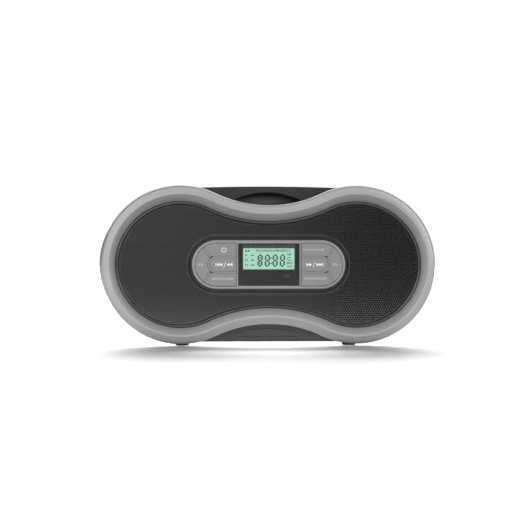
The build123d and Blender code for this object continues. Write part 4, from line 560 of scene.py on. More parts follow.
# The moat lip's black darkens from left to right in the same way: painted shade
LIP = shaded_face_paint("moat_lip_paint_shaded", colour(52), colour(38), 0.3)
BACKING = plastic("backing_black", colour(14), 0.9, Specular_IOR_Level=0.1)
# Black of the moulding under the waist, lighter than the cabinet's: painted light from below
BASE = plastic("base_black_painted_light", colour(72), 0.5, grain=0.5, grain_depth=0.03, worn=0.3)
DARK = plastic("dark_plastic", colour(40), 0.5, worn=0.3)
POCKET = pocket_shade_paint("pocket_painted_shade", colour(100), colour(4), POCKET_PAINTED_GLEAM, PAINTED_GLEAM_REACH)
WINDOW = plastic("window_black", colour(22), 0.2, grain=3.0, grain_depth=0.002, Coat_Weight=0.2)
WINDOW_CLEAR = clear("window_clear", colour(200), 0.05)
LCD = glowing("lcd_lit", colour(168, 222, 196))
LCD_EDGE = glowing("lcd_edge", colour(20, 44, 34))
LCD_DARK = glowing("lcd_segments", colour(8, 48, 34))
LCD_SOFT = glowing("lcd_icons", colour(30, 88, 68))
EYE = plastic("eye_black", colour(34), 0.42, grain=2.0, grain_depth=0.002)
PRINT = plastic("key_print", colour(232), 0.5, grain=0.4, grain_depth=0.004, change=0.03)
PRINT_SOFT = plastic("key_print_soft", colour(186), 0.5, grain=0.4, grain_depth=0.004, change=0.03)

SLOT_FINISH = {
    "silver_plastic": SILVER,
    "gloss_rim": RIM,
    "face_black": plastic("baffle_black", colour(22), 0.7),
    "panel_grey": PANEL,
    "key_grey": satin_paint("key_paint", colour(134), 0.46),
    "window_black": WINDOW,
    "lcd_green": LCD,
    "eye_black": EYE,
    "rubber_grey": plastic("rubber_grey", colour(96), 0.75, grain=0.6, grain_depth=0.03),
    "board_green": plastic("board_green", colour(38, 92, 58), 0.4, grain=1.2, grain_depth=0.01),
    "dark_plastic": DARK,
    "cabinet_black": plastic(
        "cabinet_black", colour(44), 0.5, grain=0.55, grain_depth=0.045, worn=0.5, Specular_IOR_Level=0.4
    ),
    "lid_black": plastic(
        "lid_black", colour(44), 0.3, grain=0.8, grain_depth=0.01, worn=0.4, Coat_Weight=0.3
    ),
    "lid_clear": clear("lid_clear", colour(90, 94, 98), 0.28),
    "steel": metal("steel", colour(176), 0.28, (1, 1, 0.2)),
    "chassis_steel": metal("chassis_steel", colour(158), 0.38, (0.2, 1, 1)),
    "rubber_black": plastic("rubber_black", colour(30), 0.8, grain=0.7, grain_depth=0.04),
    "white_plastic": plastic("white_plastic", colour(214), 0.45),
    "drive_plastic": DARK,
    "lens_glass": clear("lens_glass", colour(120, 150, 200), 0.6, 0.03),
    "component_black": plastic("component_black", colour(34), 0.45),
    "chrome_metal": metal("chrome", colour(212), 0.12, (0.15, 1, 1)),
    "cone_paper": plastic("cone_paper", colour(30), 0.85, grain=0.9, grain_depth=0.08),
}


# Mesh helpers
MITRE_LEAST = 0.3


def linked(name, data):
    """New object of the scene with this data."""
    made = bpy.data.objects.new(name, data)
    scene.collection.objects.link(made)
    return made


def add_piece(name, points, faces, finish, body="cabinet", crease=32.0):
    """Piece from points of X, depth and Z, riding on a body."""
    mesh = bpy.data.meshes.new(name)
    mesh.from_pydata([(x * MM, (FRONT + depth) * MM, z * MM) for x, depth, z in points], [], faces)
    shape = bmesh.new()
    shape.from_mesh(mesh)
    bmesh.ops.recalc_face_normals(shape, faces=shape.faces)
    shape.to_mesh(mesh)
    shape.free()
    mesh.shade_smooth()
    mesh.set_sharp_from_angle(angle=math.radians(crease))
    mesh.materials.append(finish)
    piece = linked(name, mesh)
    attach(piece, body)
    return piece


class Shape:
    """Points and faces that several parts of one piece are gathered in."""

    def __init__(self):
        self.points = []
        self.faces = []

    def skin(self, loops, closed=False):
        """Walls between loops of equally many points, with caps unless the loops close."""
        count = len(loops[0])
        faces = []
        for row in range(len(loops) if closed else len(loops) - 1):
            here, there = row * count, (row + 1) % len(loops) * count
            for k in range(count):
                turn = (k + 1) % count
                faces.append((here + k, here + turn, there + turn, there + k))
        if not closed:
            faces.append(tuple(range(count)))
            faces.append(tuple((len(loops) - 1) * count + k for k in reversed(range(count))))
        start = len(self.points)
        self.points += [point for loop in loops for point in loop]
        self.faces += [tuple(start + k for k in face) for face in faces]
        return self

    def slab(self, outline, near, far, edge=0.0):
        """Prism of an outline in X and Z, with its front edge cut back where asked."""
        loops = [at_depth(outline, near + edge), at_depth(outline, far)]
        if edge:
            loops.insert(0, at_depth(inset(outline, edge), near))
        return self.skin(loops)

    def piece(self, name, finish, slot, body="cabinet", crease=32.0):
        return add_piece(name, self.points, self.faces, finish, body, crease)


def slabs(name, outlines, span, finish, slot, body="cabinet"):
    """Piece of a prism from each outline, between two depths."""
    shape = Shape()
    for outline in outlines:
        shape.slab(outline, *span)
    shape.piece(name, finish, slot, body)


def inset(outline, amount):
    """Outline drawn in along its corners' bisectors; it runs counterclockwise."""
    drawn = []
    count = len(outline)
    for k, (x, z) in enumerate(outline):
        before = Vector((x - outline[k - 1][0], z - outline[k - 1][1])).normalized()
        after = Vector((outline[(k + 1) % count][0] - x, outline[(k + 1) % count][1] - z)).normalized()
        inward = Vector((-before.y - after.y, before.x + after.x))
        inward = inward.normalized() * amount / max(MITRE_LEAST, math.cos(before.angle(after) / 2))
        drawn.append((x + inward.x, z + inward.y))
    return drawn


def arc(x, z, radius, start, end, steps):
    """Points along an arc, both ends included, with angles in degrees."""
    return ellipse_run((x, z), radius, radius, start, end, steps)


def circle(x, z, radius, steps):
    return arc(x, z, radius, 0, 360, steps)[:-1]


def stadium(grow):
    """Outline of the control panel, grown on all sides."""
    height = PANEL_HEIGHT + 2 * grow
    reach = (PANEL_LENGTH + 2 * grow - height) / 2
    right = arc(reach, AXIS_Z, height / 2, -90, 90, STADIUM_STEPS)
    return right + arc(-reach, AXIS_Z, height / 2, 90, 270, STADIUM_STEPS)


def rounded(x, z, width, height, radius, steps=6):
    """Rectangle with rounded corners about a centre."""
    outline = []
    for turn, (way_x, way_z) in enumerate([(1, -1), (1, 1), (-1, 1), (-1, -1)]):
        corner_x = x + way_x * (width / 2 - radius)
        corner_z = z + way_z * (height / 2 - radius)
        start = -90 + 90 * turn
        outline += arc(corner_x, corner_z, radius, start, start + 90, steps)
    return outline


def at_depth(outline, depth):
    return [(x, depth, z) for x, z in outline]


def ellipse_run(centre, across, along, start, end, steps):
    """Points along part of an ellipse, both ends included, with angles in degrees."""
    turns = [math.radians(start + (end - start) * k / steps) for k in range(steps + 1)]
    return [(centre[0] + across * math.cos(turn), centre[1] + along * math.sin(turn)) for turn in turns]


# Outline of the bezel as samples that any inset can be drawn from
def peanut_samples():
    spans = [
        (LOBE_X, AXIS_Z, LOBE_R, -1, -TANGENT, TANGENT, LOBE_STEPS),
        (0, AXIS_Z + WAIST_Z, WAIST_R, 1, TANGENT - math.pi, -TANGENT, WAIST_STEPS),
        (-LOBE_X, AXIS_Z, LOBE_R, -1, math.pi - TANGENT, math.pi + TANGENT, LOBE_STEPS),
        (0, AXIS_Z - WAIST_Z, WAIST_R, 1, TANGENT, math.pi - TANGENT, WAIST_STEPS),
    ]
    samples = []
    for x, z, radius, sign, start, end, steps in spans:
        for k in range(steps):
            turn = start + (end - start) * k / steps
            samples.append((x, z, radius, sign, math.cos(turn), math.sin(turn)))
    return samples


PEANUT = peanut_samples()


def peanut(inward):
    """Outline of the bezel drawn in by an inset, which is narrower at the two far ends."""
    shift = TRIM_END_SHIFT * max(0.0, min(1.0, inward / TRIM_WIDTH))
    outline = []
    for x, z, radius, sign, across, up in PEANUT:
        reach = radius + sign * inward
        side = math.copysign(1, x) if sign < 0 else 0
        push = side * shift * max(0.0, side * across) ** 2
        outline.append((x + reach * across + push, z + reach * up))
    return outline


def peanut_inset(x, z):
    """How far a point lies inside the outline of the bezel."""
    from_lobe = math.hypot(abs(x) - LOBE_X, z - AXIS_Z)
    turn = math.atan2(abs(z - AXIS_Z), abs(x) - LOBE_X)
    if turn <= TANGENT:
        return LOBE_R - from_lobe + TRIM_END_SHIFT * max(0.0, math.cos(turn)) ** 3
    return math.hypot(x, WAIST_Z - abs(z - AXIS_Z)) - WAIST_R


def panel_gap(x, z):
    """Distance of a point from the edge of the control panel, outside it."""
    reach = (PANEL_LENGTH - PANEL_HEIGHT) / 2
    return math.hypot(max(0.0, abs(x) - reach), z - AXIS_Z) - PANEL_HEIGHT / 2


# Bezel and rim
def trim_profile():
    """Section of the bezel as points of inset and depth."""
    edge = (TRIM_EDGE_W, TRIM_EDGE_DEPTH)
    crown = ellipse_run(edge, TRIM_EDGE_W, TRIM_EDGE_DEPTH - TRIM_BAND_DEPTH, *EDGE_TURN, EDGE_STEPS)
    start, high = crown[-1]
    for k in range(1, BAND_STEPS + 1):
        share = k / BAND_STEPS
        crown.append((start + (TRIM_RIDGE - start) * share, high * (1 - share) ** BAND_POWER))
    crease = (TRIM_CREASE, TRIM_CREASE_DEPTH)
    reach = TRIM_WIDTH - crease[0]
    fall = TRIM_SLOPE - crease[1]
    slope = []
    for k in range(1, SLOPE_STEPS + 1):
        share = k / SLOPE_STEPS
        part = (1 - SLOPE_HOLLOW) * share + SLOPE_HOLLOW * share**3
        slope.append((crease[0] + reach * share, crease[1] + fall * part))
    inner = TRIM_WIDTH - TRIM_WALL
    back = [(TRIM_WIDTH, BAFFLE_FRONT), (inner, BAFFLE_FRONT), (inner, TRIM_SLOPE + TRIM_WALL)]
    hollow = [(TRIM_RIDGE, TRIM_WALL + 1), (TRIM_WALL + 1, TRIM_CROWN - 2), (TRIM_WALL, TRIM_CROWN)]
    turn = [((TRIM_RIDGE + TRIM_CREASE) / 2, TRIM_CREASE_DEPTH / 3)]
    return [(0, TRIM_DEPTH)] + crown + turn + [crease] + slope + back + hollow + [(TRIM_WALL, TRIM_DEPTH)]


def bezel():
    profile = trim_profile()
    loops = [at_depth(peanut(inward), depth) for inward, depth in profile]
    piece = Shape().skin(loops, closed=True).piece("bezel", SILVER, "silver_plastic", crease=26.0)
    piece.data.materials.append(SILVER_PAINTED_SHADE)
    # Faces of the inner slope take the darker silver, which is painted shade
    start = next(k for k, point in enumerate(profile) if point[0] >= TRIM_CREASE)
    end = next(k for k, point in enumerate(profile) if point[0] >= TRIM_WIDTH)
    count = len(PEANUT)
    for face in piece.data.polygons:
        rows = {index // count for index in face.vertices}
        if min(rows) >= start and max(rows) <= end + 1:
            face.material_index = 1
    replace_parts(piece, "front_trim")


def face_rim():
    """Glossy rim between the bezel and the grille."""
    outer = TRIM_WIDTH + RIM_GAP
    inner = GRILLE_INSET - RIM_LAP
    middle = ((outer + inner) / 2, RIM_FRONT + RIM_DROP)
    bead = ellipse_run(middle, (inner - outer) / 2, RIM_DROP + RIM_PROUD, 180, 360, 16)
    profile = [(outer, BAFFLE_FRONT)] + bead + [(inner, BAFFLE_FRONT)]
    loops = [at_depth(peanut(inward), depth) for inward, depth in profile]
    piece = Shape().skin(loops, closed=True).piece("face_rim", RIM, "gloss_rim")
    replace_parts(piece, "grille_ring")


# Grille
def lattice(column, row):
    """Place of one hole, with every other row set half a pitch to the right."""
    return (column + 0.5 * (row % 2)) * GRILLE_PITCH, AXIS_Z + row * ROW_STEP


def nearest_hole(x, z):
    """Column and row of the lattice place that is nearest to a point."""
    near = round((z - AXIS_Z) / ROW_STEP)
    found = []
    for row in (near - 1, near, near + 1):
        column = round(x / GRILLE_PITCH - 0.5 * (row % 2))
        found.append((math.dist((x, z), lattice(column, row)), column, row))
    return min(found)[1:]


def kept_holes(half):
    """Columns and rows of the holes on one half of the face."""
    rows = int(LOBE_R / ROW_STEP)
    columns = int((LOBE_X + LOBE_R) / GRILLE_PITCH) + 1
    kept = []
    for row in range(-rows, rows + 1):
        for column in range(-columns, columns + 1):
            x, z = lattice(column, row)
            inward = peanut_inset(x, z) - GRILLE_INSET
            outward = panel_gap(x, z) - PANEL_MOAT - MOAT_ROUND
            if inward > GRILLE_BORDER and outward > GRILLE_BORDER and (x < 0) == (half < 0):
                kept.append((column, row))
    return kept


def grille_half(half):
    """Perforated plate on one side, as one sheet with the walls of its holes."""
    corner_points = {}
    points = []
    faces = []
    edge_uses = {}
    kept = kept_holes(half)
    for column, row in kept:
        x, z = lattice(column, row)
        ring = []
        for k in range(6):
            turn = math.radians(30 + 60 * k)
            step_x = 2 * column + row % 2 + round(math.cos(turn) / math.cos(math.radians(30)))
            step_z = 3 * row + round(2 * math.sin(turn))
            if (step_x, step_z) not in corner_points:
                corner_points[(step_x, step_z)] = len(points)
                across, up = CELL_R * math.cos(turn), CELL_R * math.sin(turn)
                points.append((x + across, GRILLE_FRONT, z + up))
            ring.append(corner_points[(step_x, step_z)])
        hole = circle(x, z, GRILLE_HOLE_R, HOLE_STEPS)
        front = len(points)
        points += [(hx, GRILLE_FRONT, hz) for hx, hz in hole]
        back = len(points)
        points += [(hx, GRILLE_FRONT + GRILLE_T, hz) for hx, hz in hole]
        for k in range(6):
            first, middle, third = [(1 + 2 * k + step) % HOLE_STEPS for step in range(3)]
            after = ring[(k + 1) % 6]
            faces.append((ring[k], after, front + third, front + middle))
            faces.append((ring[k], front + middle, front + first))
            pair = tuple(sorted((ring[k], after)))
            edge_uses[pair] = edge_uses.get(pair, 0) + 1
        for k in range(HOLE_STEPS):
            after = (k + 1) % HOLE_STEPS
            faces.append((front + k, front + after, back + after, back + k))
    border = [pair for pair, uses in edge_uses.items() if uses == 1]
    fill_border(half, points, faces, border, set(kept))
    return points, faces


def half_outline(outline, half):
    """Part of an outline on one side of the middle, closed along it by the caller."""
    kept = [(x, z) for x, z in outline if x * half > 0]
    start = max(range(len(kept)), key=lambda k: math.dist(kept[k], kept[k - 1]))
    return kept[start:] + kept[:start]


def ring_edges(start, count):
    """Edges that close a run of points."""
    return [(start + k, start + (k + 1) % count) for k in range(count)]


def centroid(points, face):
    return sum(points[k].x for k in face) / 3, sum(points[k].y for k in face) / 3


def fill_border(half, points, faces, border, kept):
    """Fills between the lattice and the outlines of the plate, and gives the plate its edge."""
    outer = half_outline(peanut(GRILLE_INSET), half)
    grow = PANEL_MOAT + MOAT_ROUND
    opening = half_outline(stadium(grow), half)
    waist = WAIST_HALF - GRILLE_INSET
    outer_half = [(0.0, AXIS_Z - half * waist)] + outer + [(0.0, AXIS_Z + half * waist)]
    mouth = PANEL_HEIGHT / 2 + grow
    opening_half = [(0.0, AXIS_Z - half * mouth)] + opening + [(0.0, AXIS_Z + half * mouth)]
    loop = outer_half + opening_half[::-1]
    used = sorted({index for pair in border for index in pair})
    flat = [Vector((points[index][0], points[index][2])) for index in used]
    number = {index: k for k, index in enumerate(used)}
    edges = [(number[first], number[second]) for first, second in border]
    start = len(flat)
    flat += [Vector(point) for point in loop]
    edges += ring_edges(start, len(loop))
    made, _, triangles, origins, _, _ = delaunay_2d_cdt(flat, edges, [], 1, WELD)
    index_of = {}
    for k, sources in enumerate(origins):
        corner = [source for source in sources if source < start]
        if corner:
            index_of[k] = used[corner[0]]
        else:
            index_of[k] = len(points)
            points.append((made[k].x, GRILLE_FRONT, made[k].y))
    for triangle in triangles:
        if nearest_hole(*centroid(made, triangle)) not in kept:
            faces.append(tuple(index_of[k] for k in triangle))


def grille():
    for half, word in ((-1, "left"), (1, "right")):
        points, faces = grille_half(half)
        piece = add_piece(f"grille_{word}", points, faces, GRILLE)
        if half < 0:
            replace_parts(piece, "speaker_grille")
    moat_lip()
    backing()


def moat_lip():
    """Rounded lip of the face round the moat of the control panel, with the face's painted shade."""
    edge = PANEL_MOAT + MOAT_ROUND
    floor_depth = GRILLE_FRONT + MOAT_DEPTH
    fall = MOAT_DEPTH - LIP_SINK
    lip = [(edge + LIP_LAP, floor_depth), (edge + LIP_LAP, GRILLE_FRONT)]
    lip += ellipse_run((edge, floor_depth - LIP_SINK), MOAT_ROUND, fall, 270, 180, 10)
    lip.append((PANEL_MOAT, floor_depth))
    loops = [at_depth(stadium(grow), depth) for grow, depth in lip]
    Shape().skin(loops, closed=True).piece("moat_lip", LIP, "face_black")


def backing():
    """Black film behind the holes of the grille."""
    outer = peanut(GRILLE_INSET + BACKING_LAP)
    grow = PANEL_MOAT + BACKING_MOAT
    opening = stadium(grow)
    flat = [Vector(point) for point in outer + opening]
    edges = ring_edges(0, len(outer)) + ring_edges(len(outer), len(opening))
    made, _, triangles, _, _, _ = delaunay_2d_cdt(flat, edges, [], 1, WELD)
    kept = [tuple(face) for face in triangles if panel_gap(*centroid(made, face)) > grow - NEAR]
    count = len(made)
    points = [(point.x, BACKING_FRONT + step, point.y) for step in (0, BACKING_T) for point in made]
    faces = kept + [tuple(count + k for k in reversed(triangle)) for triangle in kept]
    faces += [(first, after, count + after, count + first) for first, after in edges]
    add_piece("grille_backing", points, faces, BACKING)


# Display
def display():
    """Black mask with an opening for the lit display, a clear pane and the infrared eye."""
    across = LCD_W + 2 * LCD_SIDE
    up = LCD_H + LCD_TOP + LCD_BOTTOM
    middle = LCD_Z + (LCD_TOP - LCD_BOTTOM) / 2
    outer = rounded(0, AXIS_Z, WINDOW_W, WINDOW_H, WINDOW_ROUND)
    hole = rounded(0, middle, across, up, OPENING_ROUND)
    loops = [at_depth(inset(outer, WINDOW_EDGE), WINDOW_FRONT)]
    loops += [at_depth(outer, WINDOW_FRONT + WINDOW_EDGE), at_depth(outer, WINDOW_BACK)]
    loops += [at_depth(hole, WINDOW_BACK), at_depth(hole, WINDOW_FRONT)]
    mask = Shape().skin(loops, closed=True).piece("window_mask", WINDOW, "window_black")
    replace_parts(mask, "display_window")
    pane = Shape().slab(hole, WINDOW_FRONT + PANE_SINK, WINDOW_FRONT + PANE_BACK)
    pane.piece("window_pane", WINDOW_CLEAR, "lid_clear")
    face = WINDOW_BACK - LCD_SINK
    edge = Shape().slab(hole, face, WINDOW_BACK + LCD_BACK)
    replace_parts(edge.piece("lcd_edge", LCD_EDGE, "lcd_green"), "lcd_module")
    lit = Shape().slab(rounded(0, LCD_Z, LCD_W, LCD_H, LCD_ROUND), face - LCD_T, face)
    lit.piece("lcd_face", LCD, "lcd_green")
    span = (face - LCD_T - SEGMENT_RAISED, face - LCD_T)
    slabs("lcd_segments", digits(), span, LCD_DARK, "lcd_green")
    slabs("lcd_icons", icons(), span, LCD_SOFT, "lcd_green")
    for k, (word, x, z, height) in enumerate(LCD_WORDS):
        name = f"lcd_word_{k + 1}"
        lettering(name, word, LCD_LEFT + x, LCD_LOW + z, height, span, LCD_SOFT)
    infrared_eye()


def infrared_eye():
    """Low oval dome over the infrared receiver."""
    loops = []
    for k in range(EYE_RINGS):
        turn = math.radians(EYE_TURN * k / (EYE_RINGS - 1))
        share = math.cos(turn)
        oval = ellipse_run((EYE_X, EYE_Z), EYE_W * share, EYE_H * share, 0, 360, 40)[:-1]
        loops.append(at_depth(oval, WINDOW_FRONT - EYE_DOME * math.sin(turn)))
    loops.insert(0, at_depth([(x, z) for x, _, z in loops[0]], WINDOW_BACK - EYE_SINK))
    Shape().skin(loops).piece("infrared_eye", EYE, "eye_black", crease=60.0)


def bar(x0, z0, x1, z1, width):
    """Segment with pointed ends between two points."""
    run = Vector((x1 - x0, z1 - z0))
    along = run.normalized() * width / 2
    side = Vector((-along.y, along.x))
    first, last = Vector((x0, z0)), Vector((x1, z1))
    corners_of = [first, first + along - side, last - along - side, last, last - along + side]
    return [tuple(point) for point in corners_of + [first + along + side]]


def digit_segments(left, low):
    """Outlines of the seven segments of an eight."""
    columns = (SEGMENT_T / 2, DIGIT_W - SEGMENT_T / 2)
    levels = (SEGMENT_T / 2, DIGIT_H / 2, DIGIT_H - SEGMENT_T / 2)
    gap = SEGMENT_GAP
    outlines = [bar(columns[0] + gap, z, columns[1] - gap, z, SEGMENT_T) for z in levels]
    for x in columns:
        for low_end, high_end in ((levels[0], levels[1]), (levels[1], levels[2])):
            outlines.append(bar(x, low_end + gap, x, high_end - gap, SEGMENT_T))
    return [[(left + x + DIGIT_SLANT * z, low + z) for x, z in outline] for outline in outlines]


def digits():
    """Outlines of four eights, the colon between the middle two, and the marks in the first."""
    foot = LCD_LOW + DIGIT_LOW
    outlines = []
    for step in DIGIT_STEPS:
        outlines += digit_segments(LCD_LEFT + step, foot)
    colon_x = LCD_LEFT + (DIGIT_STEPS[1] + DIGIT_W + DIGIT_STEPS[2]) / 2 + COLON_SHIFT
    outlines += [circle(colon_x, foot + DIGIT_H * level, COLON_R, 16) for level in COLON_LEVELS]
    inner = LCD_LEFT + DIGIT_STEPS[0] + DIGIT_W / 2
    for x, z, width, height, radius in INNER_MARKS:
        outlines.append(rounded(inner + x, foot + z, width, height, radius, 2))
    return outlines


def icons():
    """Outlines of the discs, arrow, ladders, flags and open ring round the digits."""
    outlines = [circle(LCD_LEFT + x, LCD_LOW + DISC_LEVEL, DISC_R, 20) for x in DISC_PLACES]
    middle = LCD_LEFT + ICON_X
    outlines.append(arrow_head(middle, LCD_LOW + ICON_LEVELS[0], ARROW, ARROW, 1))
    for row, level in enumerate(ICON_LEVELS):
        z = LCD_LOW + level
        outlines.append([(LCD_LEFT + x, z + up) for x, up in FLAG])
        if row:
            for step in (-LADDER_STEP, LADDER_STEP):
                outlines.append(rounded(middle + step, z, LADDER_LINE, LADDER_H, MARK_ROUND, 2))
            outlines.append(rounded(middle, z, ARROW, LADDER_LINE, MARK_ROUND, 2))
    x, z = LCD_LEFT + RING_PLACE[0], LCD_LOW + RING_PLACE[1]
    start, end = RING_TURN
    return outlines + [arc(x, z, RING_R, start, end, 24) + arc(x, z, RING_HOLE_R, end, start, 24)]


# Marks printed on the keys
def mark(key, outlines, finish):
    slabs(f"mark_{key}", outlines, MARK_SPAN, finish, "white_plastic", f"key_{key}")


def arrow_head(x, z, width, height, way):
    """Arrow head pointing right for a way of 1 and left for -1."""
    tail = x - way * width / 2
    outline = [(tail, z - height / 2), (x + way * width / 2, z), (tail, z + height / 2)]
    return outline if way > 0 else outline[::-1]


def skip_marks(x, z, way):
    """Skip and scan symbols with a slash between them, the scan symbol on the window's side."""
    near = x - way * SKIP_NEAR
    far = x + way * SKIP_FAR
    outlines = []
    for place in (near, far):
        outlines += [arrow_head(place + step, z, HEAD_W, HEAD_H, way) for step in (-HEAD_STEP, HEAD_STEP)]
    outlines.append(rounded(far + way * STOP_STEP, z, STOP_W, HEAD_H, MARK_ROUND, 2))
    outlines.append([(x + across, z + up) for across, up in SLASH])
    return outlines


def power_mark(x, z):
    start, end = POWER_TURN
    outer = arc(x, z, POWER_R, start, end, 30)
    inner = arc(x, z, POWER_R - POWER_LINE, start, end, 30)
    return [outer + inner[::-1], rounded(x, z + STEM_RISE, POWER_LINE, STEM_H, STEM_ROUND, 2)]


def lettering(name, words, x, z, height, span, finish, body="cabinet"):
    """Plain words in the built-in typeface, centred on a place, between two depths."""
    near, far = span
    font = bpy.data.curves.new(name, "FONT")
    font.body = words
    font.size = height * LETTER_SIZE
    font.align_x = "CENTER"
    font.align_y = "CENTER"
    font.resolution_u = 3
    font.offset = LETTER_BOLD
    font.extrude = 0.5
    carrier = bpy.data.objects.new(name, font)
    mesh = bpy.data.meshes.new_from_object(carrier)
    bpy.data.objects.remove(carrier)
    shape = bmesh.new()
    shape.from_mesh(mesh)
    bmesh.ops.remove_doubles(shape, verts=shape.verts, dist=WELD)
    shape.verts.index_update()
    points = [(x + v.co.x, (near + far) / 2 + v.co.z * (near - far), z + v.co.y) for v in shape.verts]
    faces = [tuple(v.index for v in face.verts) for face in shape.faces]
    shape.free()
    bpy.data.meshes.remove(mesh)
    add_piece(name, points, faces, finish, body)


def key_marks():
    mark("power", power_mark(POWER_X, MARK_UPPER), PRINT)
    mark("skip_back", skip_marks(SKIP_PLACES[0], AXIS_Z, -1), PRINT)
    mark("skip_forward", skip_marks(SKIP_PLACES[1], AXIS_Z, 1), PRINT)
    play = [arrow_head(PLAY_X, MARK_UPPER, *PLAY_HEAD, 1)]
    play += [rounded(x, MARK_UPPER, *PAUSE_SIZE, MARK_ROUND, 2) for x in PAUSE_PLACES]
    mark("play", play, PRINT_SOFT)
    for key, word, x, z, height in KEY_WORDS:
        lettering(f"word_{key}", word, x, z, height, MARK_SPAN, PRINT_SOFT, f"key_{key}")


def key_webs():
    """Lands of the panel between the keys, with a thin dark line along each side as painted shadow of the
    gap to the keys.
    """
    band = SKIP_HALF + KEY_GAP / 2
    turn_x = SKIP_END - SKIP_HALF
    fork = (SKIP_END - FORK_BACK, band)
    lands = Shape()
    lines = Shape()
    for side in (-1, 1):
        course = [(KEY_INNER, band)] + arc(turn_x, 0, band, 90, -90, 24) + [(KEY_INNER, -band)]
        for path in (course, [fork, (VOLUME_X, VOLUME_Z)], [(fork[0], -fork[1]), (VOLUME_X, -VOLUME_Z)]):
            path = [(side * x, AXIS_Z + z) for x, z in path]
            ribbon(lands, path, WEB_HALF, KEY_FRONT - LINE_PROUD, PANEL_FRONT + WEB_SINK)
            ribbon(lands, path, LAND_HALF, KEY_FRONT - LAND_PROUD, KEY_FRONT - LINE_PROUD)
            # Dark line along each side of a land: painted shadow of the gap
            ribbon(lines, path, LAND_HALF + LAND_LINE, KEY_FRONT - LINE_PROUD, KEY_FRONT - LINE_BACK)
    lands.piece("key_lands", PANEL, "panel_grey")
    lines.piece("key_land_shadow_lines", DARK, "dark_plastic")


def ribbon(shape, path, half, near, far):
    """Strip of this half width along a path in X and Z."""
    loops = []
    for k, (x, z) in enumerate(path):
        before = path[max(0, k - 1)]
        after = path[min(len(path) - 1, k + 1)]
        run = Vector((after[0] - before[0], after[1] - before[1])).normalized() * half
        left = (x - run.y, z + run.x)
        right = (x + run.y, z - run.x)
        sides = ((left, near), (right, near), (right, far), (left, far))
        loops.append([(point[0], depth, point[1]) for point, depth in sides])
    shape.skin(loops)


# Moulding on the front of the cabinet under the waist
def base_moulding():
    """Front plate under the waist of the bezel, with a raised panel in the middle and two ribs; its black
    is lighter than the cabinet's, as painted light from the floor below.
    """
    shape = Shape()
    plate = [(-PLATE_HALF, BASE_LOW), (PLATE_HALF, BASE_LOW), (PLATE_HALF, PLATE_SIDE)]
    plate += [(PLATE_HIP, PLATE_TOP), (-PLATE_HIP, PLATE_TOP), (-PLATE_HALF, PLATE_SIDE)]
    shape.slab(plate, *PLATE_SPAN)
    left, right = RAISED_X
    raised = arc(left + RAISED_R, RAISED_LOW + RAISED_R, RAISED_R, 180, 270, 6)
    raised += arc(right - RAISED_R, RAISED_LOW + RAISED_R, RAISED_R, -90, 0, 6)
    curve_r = WAIST_R + RAISED_CURVE
    for k in range(RAISED_STEPS + 1):
        x = right - (right - left) * k / RAISED_STEPS
        raised.append((x, RAISED_TOP - (curve_r - math.sqrt(curve_r**2 - x**2))))
    shape.slab(raised, CABINET_FRONT - RAISED_PROUD, CABINET_FRONT, RAISED_EDGE)
    for z, half in RIBS:
        rib = rounded(0, z, 2 * half, RIB_H, RIB_ROUND)
        shape.slab(rib, CABINET_FRONT - RIB_PROUD, CABINET_FRONT, RIB_EDGE)
    for side in (-1, 1):
        notch = [(side * x, AXIS_Z + z) for x, z in NOTCH[::-side]]
        shape.slab(notch, CABINET_FRONT - NOTCH_PROUD, CABINET_FRONT, NOTCH_EDGE)
    shape.piece("base_moulding", BASE, "cabinet_black")


def pocket_liner():
    """Thin liner on the round rear wall of the pocket that the fingers go in, painted with a gleam in the
    middle and shade towards its rim.
    """
    low, high = POCKET_SPAN
    section = arc(POCKET_AXIS, CABINET_TOP, POCKET_R - LINER_OFF, low, high, 24)
    section += arc(POCKET_AXIS, CABINET_TOP, POCKET_R - LINER_T, high, low, 24)
    loops = [[(x, depth, z) for depth, z in section] for x in (-POCKET_HALF, POCKET_HALF)]
    Shape().skin(loops).piece("pocket_liner", POCKET, "cabinet_black")


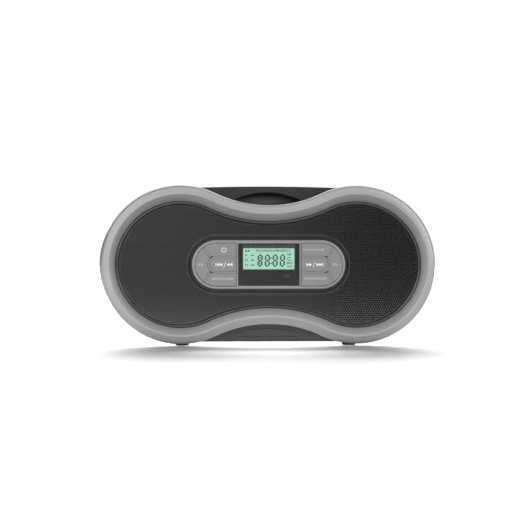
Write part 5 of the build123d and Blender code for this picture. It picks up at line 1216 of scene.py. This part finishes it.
# Floor, lights and camera
def studio():
    mesh = bpy.data.meshes.new("floor")
    corner_places = [(x * FLOOR_HALF, y * FLOOR_HALF, 0) for x, y in ((-1, -1), (1, -1), (1, 1), (-1, 1))]
    mesh.from_pydata(corner_places, [], [(0, 1, 2, 3)])
    floor = linked("floor", mesh)
    made = Finish("floor_white")
    pale = made.blend(made.noise(400.0), colour(244), colour(250))
    made.paint(pale)
    made.links.new(pale, made.shader.inputs["Emission Color"])
    made.set(Roughness=0.8, Specular_IOR_Level=0.2, Emission_Strength=FLOOR_GLOW)
    mesh.materials.append(made.material)

    world = bpy.data.worlds.new("studio")
    world.use_nodes = True
    nodes, links = world.node_tree.nodes, world.node_tree.links
    backdrop = nodes["Background"]
    fill(backdrop, {"Color": (1, 1, 1, 1)})
    place = nodes.new("ShaderNodeTexCoord")
    split = nodes.new("ShaderNodeSeparateXYZ")
    links.new(place.outputs["Generated"], split.inputs["Vector"])
    rise = nodes.new("ShaderNodeMapRange")
    fill(rise, {"To_Min": SKY_LOW, "To_Max": SKY_LOW + SKY_HIGH})
    links.new(split.outputs["Z"], rise.inputs["Value"])
    strength = nodes.new("ShaderNodeMix")
    path = nodes.new("ShaderNodeLightPath")
    links.new(path.outputs["Is Camera Ray"], strength.inputs["Factor"])
    links.new(rise.outputs["Result"], strength.inputs["A"])
    fill(strength, {"B": 1.0})
    links.new(strength.outputs["Result"], backdrop.inputs["Strength"])
    scene.world = world
    scene.view_settings.view_transform = "Standard"

    apart = reach_of("all_but_floor", floor, "EXCLUDE")
    for values in LAMPS:
        lamp(*values).light_linking.receiver_collection = apart
    data = bpy.data.lights.new("sun", "SUN")
    data.energy = SUN_STRENGTH
    data.angle = math.radians(SUN_SPREAD)
    sun = linked("sun", data)
    sun.rotation_euler = Vector(SUN_PLACE).to_track_quat("Z", "Y").to_euler()
    sun.light_linking.receiver_collection = reach_of("floor_alone", floor, "INCLUDE")
    return sun


def reach_of(name, floor, state):
    """What a light falls on: the floor alone, or all but the floor."""
    group = bpy.data.collections.new(name)
    group.objects.link(floor)
    group.collection_objects[0].light_linking.link_state = state
    return group


def lamp(name, place, size, roll, power):
    """Soft box that faces the object."""
    data = bpy.data.lights.new(name, "AREA")
    data.shape = "RECTANGLE"
    data.size, data.size_y = size
    data.energy = power
    light = linked(name, data)
    light.location = place
    aim = Vector(LAMP_AIM) - Vector(place)
    turn = Quaternion((0, 0, 1), math.radians(roll))
    light.rotation_euler = (aim.to_track_quat("-Z", "Y") @ turn).to_euler()
    light.visible_camera = False
    return light


def camera():
    """Camera that gives the bezel its place and width in the picture."""
    turn, tilt = math.radians(CAMERA_AZIMUTH), math.radians(CAMERA_ELEVATION)
    back = Vector((math.sin(turn) * math.cos(tilt), -math.cos(turn) * math.cos(tilt), math.sin(tilt)))
    right = Vector((math.cos(turn), math.sin(turn), 0))
    up = right.cross(-back).normalized()
    per_pixel = 2 * (LOBE_X + LOBE_R) / BEZEL_WIDTH_PX
    view_width = per_pixel * IMAGE_SIZE
    centre = Vector((0, FRONT + TRIM_CROWN, AXIS_Z))
    aim = centre - right * per_pixel * (BEZEL_CENTRE_PX[0] - IMAGE_SIZE / 2)
    aim += up * per_pixel * (BEZEL_CENTRE_PX[1] - IMAGE_SIZE / 2)
    data = bpy.data.cameras.new("camera")
    data.sensor_width = SENSOR
    data.lens = SENSOR * CAMERA_DISTANCE / view_width
    eye = linked("camera", data)
    eye.location = (aim + back * CAMERA_DISTANCE) * MM
    eye.rotation_euler = (-back).to_track_quat("-Z", "Y").to_euler()
    bpy.context.scene.camera = eye


def dress_cad_nodes():
    """Gives each node that stays the finish of its slot."""
    for part in frame["record"]["subparts"]:
        node = frame["nodes"][part["node"]]
        node.data.materials.clear()
        node.data.materials.append(SLOT_FINISH[part["material_slot"]])


def open_waist(sun):
    """Lets the sun pass under the waist, so that only the front shell and the feet shade the floor."""
    group = bpy.data.collections.new("sun_stops")
    for name in ("bezel", "face_rim", "grille_backing"):
        group.objects.link(bpy.data.objects[name])
    group.objects.link(frame["nodes"]["feet"])
    sun.light_linking.blocker_collection = group


sun = studio()
camera()
dress_cad_nodes()
bezel()
face_rim()
grille()
display()
key_marks()
key_webs()
base_moulding()
pocket_liner()
open_waist(sun)
